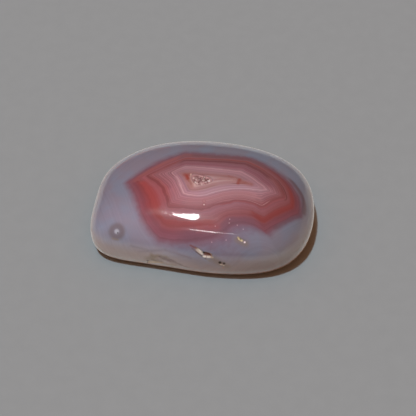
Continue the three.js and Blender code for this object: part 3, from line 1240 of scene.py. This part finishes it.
        inner = smooth_step(level, *self.halves)
        start, end = (around([tone.edge[number] for tone in self.tones]) for number in range(2))
        cover = np.clip((level - start) / (end - start), 0.0, 1.0)
        shade = []
        for values in ([tone.lightness for tone in self.tones], [tone.redness for tone in self.tones]):
            zones = {zone: around([value[zone.value] for value in values]) for zone in Zone}
            bands = (1 - inner) * zones[Zone.OUTER_BANDS] + inner * zones[Zone.CORE_BANDS]
            shade.append((1 - cover) * zones[Zone.OUTSIDE] + cover * bands)
        lightness, redness = (values[:, None] for values in shade)
        tint = lightness * (1 - redness * np.array([0.0, 1.0, 1.0]))
        return tint, smooth_step(cover, 0.0, 1.0)

    def build(self, count: int, capsule: bpy.types.NodeTree) -> bpy.types.Material:
        """Makes the material, which reads what the stone's mesh carries.

        That is the level, side, tint and cover of the bands, how deep the point is sunk into a pit, and its
        place on the whole stone, before the pits were sunk.

        Args:
            count: How many key points the bands have.
            capsule: The capsule_mask group.

        Returns:
            The material.
        """
        material, tree, shader = new_material("polished_agate")
        place = mesh_value(tree, "whole_place", "Vector")
        level = self.rippled(mesh_value(tree, "band_level", "Fac"), place)
        side = mesh_value(tree, "band_side", "Vector")
        cover = mesh_value(tree, "band_cover", "Fac")
        cover = cover + ragged(place, self.fray_size, self.fray, detail=3.0) * cover * (1.0 - cover)
        colour = mixed(cover, self.outside.painted(place, level), self.banded(level))
        # The tint carries the tones' painted light and shade along with the stone's own colour.
        colour = colour.vector("MULTIPLY", mesh_value(tree, "band_tint", "Vector"))
        along_band = streak_mask()
        for streak in self.streaks:
            colour = streak.painted(colour, level, side, along_band, count)
        sunk = mesh_value(tree, "sunk", "Fac")
        in_pit = sunk.step(0.0, self.pit_edge)
        # Pits take their brown and their painted shade, darker with depth.
        colour = mixed(in_pit, colour, ramp(sunk, self.pit_colours_and_shade))
        flowed = self.flowed(place)
        # Stains, and the painted shade near the base, with ragged edges.
        for stain in self.stains_and_shade:
            colour = stain.painted(colour, flowed, capsule)
        for mark in (*self.marks, *self.spots()):
            colour = mark.painted(colour, place, capsule)
        tree.links.new(colour.socket, shader.inputs["Base Color"])
        roughness = in_pit.spread(0.0, 1.0, self.roughness, self.pit_roughness)
        tree.links.new(roughness.socket, shader.inputs["Roughness"])
        shader.inputs["IOR"].default_value = self.ior
        shader.inputs["Coat Weight"].default_value = self.haze
        shader.inputs["Coat Roughness"].default_value = self.haze_roughness
        shader.inputs["Subsurface Weight"].default_value = self.glow
        shader.inputs["Subsurface Radius"].default_value = self.glow_reach
        shader.inputs["Subsurface Scale"].default_value = MM
        return material

    def spots(self) -> list[Mark]:
        """The specks as round marks, all of one look."""
        look = (self.speck_radius, self.speck_softness, self.speck_colour, self.speck_strength)
        return [dot(place, *look) for place in self.specks]

    def rippled(self, level: Signal, place: Signal) -> Signal:
        """The level with a broad and a fine unevenness."""
        for size, amount in self.ripples:
            level = level + ragged(place, size, amount, detail=1.0)
        return level

    def flowed(self, place: Signal) -> Signal:
        """The place moved to and fro by noise, for ragged edges.

        Args:
            place: The place in the stone, in millimetres.

        Returns:
            The moved place.
        """
        size, amount = self.stain_flow
        shift = noise(place, size, output="Color").vector("SUBTRACT", (NOISE_MIDDLE,) * 3)
        return place.vector("ADD", shift.vector("MULTIPLY", (amount,) * 3))

    def banded(self, level: Signal) -> Signal:
        """The bands' colour, which each size of fine line makes lighter and darker by a share.

        Args:
            level: The bands' level.

        Returns:
            The colour.
        """
        colour = ramp(level, self.bands)
        strength_there = level.step(*self.finest_from) * level.step(*self.finest_to) + self.lines_elsewhere
        for size, strength in self.lines:
            lines = line_noise(level, size).spread(*NOISE_RANGE, -strength, strength)
            colour = colour.vector("MULTIPLY", lines * strength_there + 1.0)
        return colour


# The stone


@dataclass(frozen=True)
class AgateStone:
    """The cabochon: one closed surface over the dome, the hollow, the girdle, the undercut and the base.

    Its rows and columns lie closest together over the pits of the front wall, a little wider over the stain
    and widest under the base. Two places give where a closer spacing begins and where it is reached.
    """

    plan: Plan
    section: Section
    hollow: Hollow
    columns: int = 480
    floor_rows: int = 4
    wall_rows: int = 8
    lip_rows: int = 6
    blend_rows: int = 16
    blend_share: float = 0.3
    blend_power: float = 1.5
    outer_rows: int = 142
    plan_steps: int = 20001
    section_steps: int = 4000
    wall_spacing: float = 0.25
    dome_spacing: float = 0.3
    stain_spacing: float = 0.1
    stain_left: Pair = (-8.6, -7.8)
    stain_right: Pair = (-1.6, -2.4)
    pit_spacing: float = 0.055
    pits_left: Pair = (-3.0, -1.8)
    pits_right: Pair = (6.6, 5.6)
    pits_top: Pair = (7.0, 6.6)
    undercut_spacing: float = 0.11
    base_spacing: float = 1.2
    base_edge: float = 0.02
    tangent_step: float = 0.05
    height_step: float = 0.01
    pits: tuple[Pit, ...] = (
        Pit(x=-0.45, height=5.08, length=1.7, width=0.5, depth=0.2, turn=30),
        Pit(x=0.58, height=4.78, length=1.3, width=0.6, depth=0.3, turn=12),
        Pit(x=2.2, height=3.7, length=0.5, width=0.3, depth=0.3, turn=8),
        Pit(x=2.74, height=3.58, length=0.42, width=0.26, depth=0.3, turn=8),
        Pit(x=4.95, height=6.28, length=1.0, width=0.5, depth=0.12, turn=24),
        Pit(x=-7.3, height=1.35, length=0.42, width=0.4, depth=0.2, turn=0),
    )

    def angles(self) -> np.ndarray:
        """The columns' directions from the origin, closer together over the pits of the front wall.

        Returns:
            The angles in radians, rising.
        """
        fine = np.linspace(-math.pi, math.pi, self.plan_steps)
        reach = self.plan.radius(fine)
        x = reach * np.cos(fine)
        front = reach * np.sin(fine) < 0
        over_stain = smooth_step(x, *self.stain_left) * smooth_step(x, *self.stain_right) * front
        over_pits = smooth_step(x, *self.pits_left) * smooth_step(x, *self.pits_right) * front
        spacing = self.wall_spacing + (self.stain_spacing - self.wall_spacing) * over_stain
        spacing = spacing + (self.pit_spacing - spacing) * over_pits
        return graded(fine, spacing / reach, self.columns + 1)[:-1]

    def outer_profile(self) -> np.ndarray:
        """The outer rows, closer together where the pits are.

        Returns:
            One share of the plan and one height a row.
        """
        fine = self.section.outside(self.blend_share, self.section_steps)
        scaled = fine * np.array([self.plan.width / 2, 1.0])
        along = np.concatenate([[0.0], np.cumsum(np.linalg.norm(np.diff(scaled, axis=0), axis=1))])
        height = fine[:, 1]
        on_dome = np.arange(len(fine)) < self.section_steps
        in_pits = smooth_step(height, *self.pits_top) * on_dome
        dome_spacing = self.dome_spacing + (self.pit_spacing - self.dome_spacing) * in_pits
        below = np.where(height > self.base_edge, self.undercut_spacing, self.base_spacing)
        places = graded(along, np.where(on_dome, dome_spacing, below), self.outer_rows + 1)[:-1]
        return np.stack([np.interp(places, along, values) for values in fine.T], axis=1)

    def top_height(self, spots: np.ndarray) -> np.ndarray:
        """The dome's height over spots in plan, from their share of the plan in their own direction.

        Args:
            spots: The spots, with x and y on the last axis.

        Returns:
            One height for each spot.
        """
        x = spots[..., 0]
        y = spots[..., 1]
        return self.section.dome_height(np.hypot(x, y) / self.plan.radius(np.arctan2(y, x)))

    def rows(self) -> np.ndarray:
        """All the surface's points but two, in rows from the hollow's floor outwards to the base.

        Returns:
            The points by row, column and axis.
        """
        angles = self.angles()
        direction = np.stack([np.cos(angles), np.sin(angles)], axis=1)
        rim = self.plan.radius(angles)[:, None] * direction
        middle = self.hollow.middle()
        mouth_height = float(self.top_height(middle))
        floor = self.hollow.ring(angles, self.hollow.depth)
        rings = []
        for row in range(1, self.floor_rows):
            ring = middle + (floor - middle) * row / self.floor_rows
            rings.append(raised(ring, mouth_height - self.hollow.depth))
        lip = self.hollow.lip_radius
        for depth in np.linspace(self.hollow.depth, lip, self.wall_rows):
            rings.append(raised(self.hollow.ring(angles, depth), mouth_height - depth))
        for turn in np.linspace(math.pi / 2, 0, self.lip_rows)[1:]:
            ring = self.hollow.ring(angles, 0.0, growth=lip * (1 - math.sin(turn)))
            rings.append(raised(ring, self.top_height(ring) - lip * (1 - math.cos(turn))))
        start = self.hollow.ring(angles, 0.0, growth=lip)
        for share in np.linspace(0, 1, self.blend_rows + 1)[1:-1] ** self.blend_power:
            ring = start + (rim * self.blend_share - start) * share
            rings.append(raised(ring, self.top_height(ring)))
        for share, height in self.outer_profile():
            rings.append(raised(rim * share, height))
        return np.array(rings)

    def wall_spot(self, x: float, height: float) -> tuple[np.ndarray, np.ndarray]:
        """A point of the front wall, and the outward direction there.

        The direction is square to the wall's level tangent and to its steepest one, from small steps along
        each.

        Args:
            x: The point's place along the stone.
            height: The point's height.

        Returns:
            The point, and the direction at length 1.
        """
        share = self.section.share_at(height)
        outline = self.plan.outline()
        front = outline[outline[:, 1] < 0]
        front = front[np.argsort(front[:, 0])]
        y, next_y = np.interp([x / share, x / share + self.tangent_step], front[:, 0], front[:, 1])
        level = unit(np.array([1.0, (next_y - y) / self.tangent_step, 0.0]))
        growth = (self.section.share_at(height + self.height_step) - share) / self.height_step
        upward = np.array([x / share * growth, y * growth, 1.0])
        return np.array([x, y * share, height]), unit(np.cross(level, upward))

    def build(self) -> bpy.types.Object:
        """The stone's mesh, with the pits sunk into it.

        Each pit sinks a point as far as it is deeper there than the pits before it. The mesh carries how
        deep each point is sunk, and the place that it is sunk from.

        Returns:
            The new object.
        """
        whole = self.rows()
        sunk = np.zeros(whole.shape[:-1])
        shift = np.zeros_like(whole)
        for pit in self.pits:
            middle, outward = self.wall_spot(pit.x, pit.height)
            depth = pit.depth_at(whole, middle, outward)
            shift -= np.maximum(depth - sunk, 0.0)[..., None] * outward
            sunk = np.maximum(sunk, depth)
        ends = np.array([[*self.hollow.middle(), whole[0, 0, 2]], [0.0, 0.0, 0.0]])
        points = np.concatenate([(whole + shift).reshape(-1, 3), ends])
        piece = mesh_piece("banded_stone", points, grid_faces(len(whole), self.columns), smooth=True)
        store_attribute(piece, "sunk", np.concatenate([sunk.ravel(), np.zeros(len(ends))]))
        store_attribute(piece, "whole_place", np.concatenate([whole.reshape(-1, 3), ends]))
        return piece


# The crust

CRYSTAL_SIDES = 6


@dataclass(frozen=True)
class CrystalRow:
    """A ring of crystals: its share of the hollow's reach, its depth, and how far they lean inwards."""

    share: float
    depth: float
    count: int
    lean: float


def crystal_faces() -> list:
    """One crystal's faces as point numbers: its sides, then its pointed end, then its root.

    Its points are the corners of the root, those of the shoulder, the root's middle and the tip, in that
    order.

    Returns:
        The faces.
    """
    corner = np.arange(CRYSTAL_SIDES)
    following = (corner + 1) % CRYSTAL_SIDES
    shoulder = corner + CRYSTAL_SIDES
    next_shoulder = following + CRYSTAL_SIDES
    root = np.full(CRYSTAL_SIDES, 2 * CRYSTAL_SIDES)
    sides = np.stack([corner, following, next_shoulder, shoulder], axis=1)
    point = np.stack([shoulder, next_shoulder, root + 1], axis=1)
    foot = np.stack([following, corner, root], axis=1)
    return sides.tolist() + point.tolist() + foot.tolist()


@dataclass(frozen=True)
class VugCrystals:
    """The crust in the hollow: a rough dish of quartz, and small six-sided crystals that lean inwards."""

    hollow: Hollow
    top: float
    gap: float = 0.04
    drop: float = 0.12
    floor_share: float = 0.5
    rim_share: float = 0.84
    rim_depth: float = 0.26
    middle_depth: float = 0.8
    columns: int = 72
    dish_rows: int = 14
    roughening: float = 0.06
    rough_size: float = 0.16
    radius: float = 0.125
    prism: float = 0.16
    point: float = 0.15
    size_variation: float = 0.35
    direction_variation: float = 0.45
    place_variation: float = 0.4
    dish_shade: float = 0.2
    seed: int = 5
    rows: tuple[CrystalRow, ...] = (
        CrystalRow(share=0.9, depth=0.3, count=24, lean=1.0),
        CrystalRow(share=0.72, depth=0.45, count=19, lean=0.8),
        CrystalRow(share=0.52, depth=0.6, count=13, lean=0.55),
        CrystalRow(share=0.32, depth=0.7, count=8, lean=0.35),
        CrystalRow(share=0.1, depth=0.76, count=3, lean=0.15),
    )

    def dish(self) -> tuple[np.ndarray, list]:
        """The dish: a floor and a wall just inside the hollow's, and an inner face that falls to the middle.

        The inner face's share runs straight from the rim to 0 and its depth along a quarter of a circle.
        Noise moves its points to and fro.

        Returns:
            The points, one x, y and z a row, and the faces.
        """
        angles = 2 * math.pi * np.arange(self.columns) / self.columns
        floor_depth = self.hollow.depth - self.gap
        profile = [(self.floor_share, floor_depth), (1.0, floor_depth), (1.0, self.drop)]
        plain_rows = len(profile)
        for share in np.linspace(1.0, 0.0, self.dish_rows + 1)[:-1]:
            depth = self.rim_depth + (self.middle_depth - self.rim_depth) * math.sqrt(1 - share**2)
            profile.append((self.rim_share * share, depth))
        middle = self.hollow.middle()
        rings = []
        for share, depth in profile:
            ring = self.hollow.ring(angles, depth, growth=-self.gap)
            rings.append(raised(middle + (ring - middle) * share, self.top - depth))
        points = np.concatenate(rings)
        rough = np.repeat(np.arange(len(profile)) >= plain_rows, self.columns)
        seeds = range(self.seed, self.seed + 3)
        moved = np.stack([lattice_noise(points, self.rough_size, seed) for seed in seeds], axis=1)
        points = points + moved * self.roughening * rough[:, None]
        ends = np.array([[*middle, self.top - floor_depth], [*middle, self.top - self.middle_depth]])
        return np.concatenate([points, ends]), grid_faces(len(profile), self.columns)

    def crystals(self) -> np.ndarray:
        """Every crystal's points: a six-sided prism with a pointed end, turned to its own direction and spin.

        Returns:
            The points by crystal, number and axis, in the order that crystal_faces names.
        """
        rng = np.random.default_rng(self.seed)
        middle = self.hollow.middle()
        roots = []
        inward = []
        for row in self.rows:
            turns = np.arange(row.count) + rng.uniform(-self.place_variation, self.place_variation, row.count)
            ring = self.hollow.ring(2 * math.pi * turns / row.count, row.depth, growth=-self.gap)
            spots = middle + (ring - middle) * row.share
            roots.append(raised(spots, self.top - row.depth))
            inward.append(raised(unit(middle - spots) * row.lean, 1.0))
        roots = np.concatenate(roots)
        count = len(roots)
        direction = unit(np.concatenate(inward) + rng.uniform(-1, 1, (count, 3)) * self.direction_variation)
        side = unit(np.cross(direction, rng.uniform(-1, 1, (count, 3))))
        basis = np.stack([side, np.cross(direction, side), direction], axis=1)
        corner = 2 * math.pi * np.arange(CRYSTAL_SIDES) / CRYSTAL_SIDES
        ring = np.column_stack([np.cos(corner), np.sin(corner)]) * self.radius
        ends = raised(np.zeros((2, 2)), [-self.prism, self.prism + self.point])
        shape = np.concatenate([raised(ring, -self.prism), raised(ring, self.prism), ends])
        size = 1 + rng.uniform(-1, 1, (count, 1, 1)) * self.size_variation
        points = roots[:, None, :] + np.einsum("pi,nij->npj", shape, basis) * size
        points[..., 2] = np.minimum(points[..., 2], self.top - self.drop)
        return points

    def build(self) -> bpy.types.Object:
        """The crust's mesh, which carries one random number a crystal.

        Returns:
            The new object.
        """
        dish, faces = self.dish()
        crystals = self.crystals()
        count, corners = crystals.shape[:2]
        for start in range(len(dish), len(dish) + count * corners, corners):
            faces += [[start + point for point in face] for face in crystal_faces()]
        points = np.concatenate([dish, crystals.reshape(-1, 3)])
        piece = mesh_piece("quartz_crust", points, faces, smooth=False)
        shades = np.random.default_rng(self.seed + 1).uniform(0.0, 1.0, count)
        shades = np.concatenate([np.full(len(dish), self.dish_shade), np.repeat(shades, corners)])
        store_attribute(piece, "crystal_shade", shades)
        return piece


@dataclass(frozen=True)
class QuartzDruse:
    """The finish of the crust: small shiny crystals, clear to pinkish, with rusty stain between them, and a
    painted highlight: a white glint painted on one crystal.
    """

    roughness: float = 0.2
    frost_size: float = 0.05
    ior: float = 1.54
    stain: Colour = (150, 106, 110)
    stain_share: float = 0.28
    stain_size: float = 0.1
    stain_edge: Pair = (0.4, 0.65)
    shades: Stops = (
        (0.0, (152, 110, 112)),
        (0.35, (190, 150, 150)),
        (0.7, (204, 170, 168)),
        (0.9, (230, 210, 204)),
        (1.0, (252, 246, 242)),
    )
    # A painted highlight: white painted where one crystal would mirror a lamp.
    painted_glint: Mark = Mark((0.78, 0.25, 7.9), (0.78, 0.25, 7.1), 0.13, 0.08, (255, 250, 246))

    def build(self, capsule: bpy.types.NodeTree) -> bpy.types.Material:
        """Makes the material, which takes its shade from each crystal's own number.

        Args:
            capsule: The capsule_mask group.

        Returns:
            The material.
        """
        material, tree, shader = new_material("quartz_druse")
        place = object_place(tree)
        stained = noise(place, self.stain_size).step(*self.stain_edge) * self.stain_share
        colour = ramp(mesh_value(tree, "crystal_shade", "Fac"), self.shades)
        colour = mixed(stained, colour, linear(self.stain))
        # Paints the white highlight onto the crust.
        colour = self.painted_glint.painted(colour, place, capsule)
        tree.links.new(colour.socket, shader.inputs["Base Color"])
        frost = noise(place, self.frost_size, detail=1.0)
        frost = frost.spread(*NOISE_BULK, self.roughness, self.roughness * 2)
        tree.links.new(frost.socket, shader.inputs["Roughness"])
        shader.inputs["IOR"].default_value = self.ior
        return material


# The studio


@dataclass(frozen=True)
class Lamp:
    """An oval lamp, set out from a spot on the stone whose mirror image of it is known.

    The direction points from the spot to the lamp. The size holds two angles seen from there, in radians,
    the first of them across the lamp in the direction that along gives. A radiance of 1 is white. A lamp that
    isn't mirrored gives light but no highlight.
    """

    name: str
    spot: Vec3
    direction: Vec3
    size: Pair
    along: Vec3
    radiance: float
    tint: Vec3 = (1.0, 1.0, 1.0)
    mirrored: bool = True


DOME_SPOT = (-2.2, -5.4, 7.4)
SHOULDER_SPOT = (0.1, -7.5, 6.8)


@dataclass(frozen=True)
class Studio:
    """A pale floor, six lamps and an even surrounding light, with the camera at the photograph's angle."""

    floor_reach: float = 600.0
    floor_seen: Colour = (145, 151, 151)
    floor_mirrored: Colour = (212, 214, 206)
    floor_roughness: float = 0.6
    grain_size: float = 2.0
    grain: float = 0.015
    horizon: float = 0.08
    zenith: float = 0.33
    surround_tint: Vec3 = (1.8, 0.8, 0.4)
    backdrop: Colour = (148, 148, 146)
    lamp_distance: float = 2500.0
    lamps: tuple[Lamp, ...] = (
        Lamp(
            "main_lamp",
            spot=(0.0, 0.0, 5.0),
            direction=(-0.2, -0.1, 1.0),
            size=(0.06, 0.06),
            along=(1, 0, 0),
            radiance=850.0,
            tint=(0.69, 0.88, 1.02),
            mirrored=False,
        ),
        Lamp("window_lamp", DOME_SPOT, (-0.109, 0.1455, 0.982), (0.15, 0.0332), (0.254, 0.967, 0), 36.0),
        Lamp("window_glow", DOME_SPOT, (-0.108, 0.15, 0.982), (0.22, 0.03), (0.254, 0.967, 0), 1.4),
        Lamp("strip_lamp", SHOULDER_SPOT, (-0.12, -0.223, 0.967), (0.15, 0.02), (1, -0.03, 0), 22.0),
        Lamp("strip_tail", SHOULDER_SPOT, (-0.01, -0.233, 0.967), (0.18, 0.012), (1, -0.12, 0), 8.0),
        Lamp(
            "side_card",
            spot=(13.4, -2.2, 5.6),
            direction=(0.956, 0.292, 0.0),
            size=(1.06, 0.7),
            along=(-0.292, 0.956, 0),
            radiance=0.33,
            tint=(1.0, 0.96, 0.9),
        ),
    )
    camera_elevation: float = 50.0
    camera_distance: float = 155.6
    camera_target: Vec3 = (0.66, -1.0, 3.6)
    lens: float = 100.0
    nearest_seen: float = 1.0
    farthest_seen: float = 10000.0

    def floor(self) -> bpy.types.Object:
        """A flat square under the stone, which the stone mirrors in a paler colour than the camera sees.

        Returns:
            The new object.
        """
        corners = np.array([(-1.0, -1.0, 0.0), (1.0, -1.0, 0.0), (1.0, 1.0, 0.0), (-1.0, 1.0, 0.0)])
        piece = mesh_piece("studio_floor", corners * self.floor_reach, [[0, 1, 2, 3]], smooth=False)
        material, tree, shader = new_material("pale_floor")
        grain = noise(object_place(tree), self.grain_size, detail=4.0)
        grain = grain.spread(*NOISE_BULK, 1 - self.grain, 1 + self.grain)
        direct = add_node(tree, "ShaderNodeLightPath", {}, output="Is Camera Ray")
        colour = mixed(direct, colour_signal(tree, self.floor_mirrored), linear(self.floor_seen))
        tree.links.new(colour.vector("MULTIPLY", grain).socket, shader.inputs["Base Color"])
        shader.inputs["Roughness"].default_value = self.floor_roughness
        shader.inputs["Specular IOR Level"].default_value = 0.0
        piece.data.materials.append(material)
        return piece

    def lamp(self, lamp: Lamp) -> None:
        """Adds one lamp, which faces the spot that it is set out from.

        Its power is its radiance times the area of its oval times pi.

        Args:
            lamp: The lamp.
        """
        data = bpy.data.lights.new(lamp.name, "AREA")
        data.shape = "ELLIPSE"
        data.size, data.size_y = (side * self.lamp_distance * MM for side in lamp.size)
        data.energy = lamp.radiance * data.size * data.size_y * math.pi * math.pi / 4
        data.color = lamp.tint
        piece = bpy.data.objects.new(lamp.name, data)
        bpy.context.scene.collection.objects.link(piece)
        back = Vector(lamp.direction).normalized()
        piece.location = (Vector(lamp.spot) + back * self.lamp_distance) * MM
        side = (Vector(lamp.along) - back * back.dot(Vector(lamp.along))).normalized()
        across = back.cross(side)
        rotation = piece.matrix_world.to_3x3()
        for row in range(3):
            rotation[row] = (side[row], across[row], back[row])
        piece.rotation_euler = rotation.to_euler()
        piece.visible_glossy = lamp.mirrored
        piece.visible_camera = False

    def light(self) -> None:
        """The lamps and the even surrounding light. The camera itself sees a plain pale backdrop."""
        for lamp in self.lamps:
            self.lamp(lamp)
        world = bpy.data.worlds.new("even_surround")
        world.use_nodes = True
        tree = world.node_tree
        direction = add_node(tree, "ShaderNodeTexCoord", {}, output="Generated")
        brightness = direction.axis("Z").spread(0.0, 1.0, self.horizon, self.zenith)
        glow = brightness.vector("MULTIPLY", self.surround_tint)
        direct = add_node(tree, "ShaderNodeLightPath", {}, output="Is Camera Ray")
        colour = mixed(direct, glow, linear(self.backdrop))
        tree.links.new(colour.socket, tree.nodes["Background"].inputs["Color"])
        tree.nodes["Background"].inputs["Strength"].default_value = 1.0
        bpy.context.scene.world = world

    def camera(self) -> None:
        """The camera: it looks along +Y and down, at the photograph's elevation."""
        elevation = math.radians(self.camera_elevation)
        back = Vector((0.0, -math.cos(elevation), math.sin(elevation)))
        data = bpy.data.cameras.new("camera")
        data.lens = self.lens
        data.clip_start = self.nearest_seen * MM
        data.clip_end = self.farthest_seen * MM
        camera = bpy.data.objects.new("camera", data)
        bpy.context.scene.collection.objects.link(camera)
        camera.location = (Vector(self.camera_target) + back * self.camera_distance) * MM
        camera.rotation_euler = (-back).to_track_quat("-Z", "Y").to_euler()
        bpy.context.scene.camera = camera


def main() -> None:
    """Builds each piece in order and reports it."""
    logging.basicConfig(level=logging.INFO, format="%(message)s")
    low, high = (Vector(corner) * MILLIMETRES_PER_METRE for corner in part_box("agate_stone"))
    size = high - low
    plan = Plan(length=size.x, width=size.y)
    section = Section(thickness=size.z)
    hollow = Hollow()
    pattern = BandPattern()
    finish = PolishedAgate()
    stone = AgateStone(plan, section, hollow).build()
    level, turn = pattern.measure(mesh_points(stone))
    tint, cover = finish.tint(level, turn, pattern.count)
    angle = 2 * math.pi * turn / pattern.count
    side = np.stack([np.cos(angle), np.sin(angle), np.zeros_like(angle)], axis=1)
    store_attribute(stone, "band_level", level)
    store_attribute(stone, "band_side", side)
    store_attribute(stone, "band_tint", tint)
    store_attribute(stone, "band_cover", cover)
    capsule = capsule_mask()
    stone.data.materials.append(finish.build(pattern.count, capsule))
    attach(stone, "root")
    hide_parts("agate_stone")
    log.info("stone: %d faces", len(stone.data.polygons))
    crust = VugCrystals(hollow, top=size.z).build()
    crust.data.materials.append(QuartzDruse().build(capsule))
    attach(crust, "root")
    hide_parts("vug_crystals")
    log.info("crust: %d faces", len(crust.data.polygons))
    studio = Studio()
    studio.floor()
    studio.light()
    studio.camera()
    bpy.context.scene.view_settings.view_transform = "Standard"


if __name__ == "__main__":
    main()
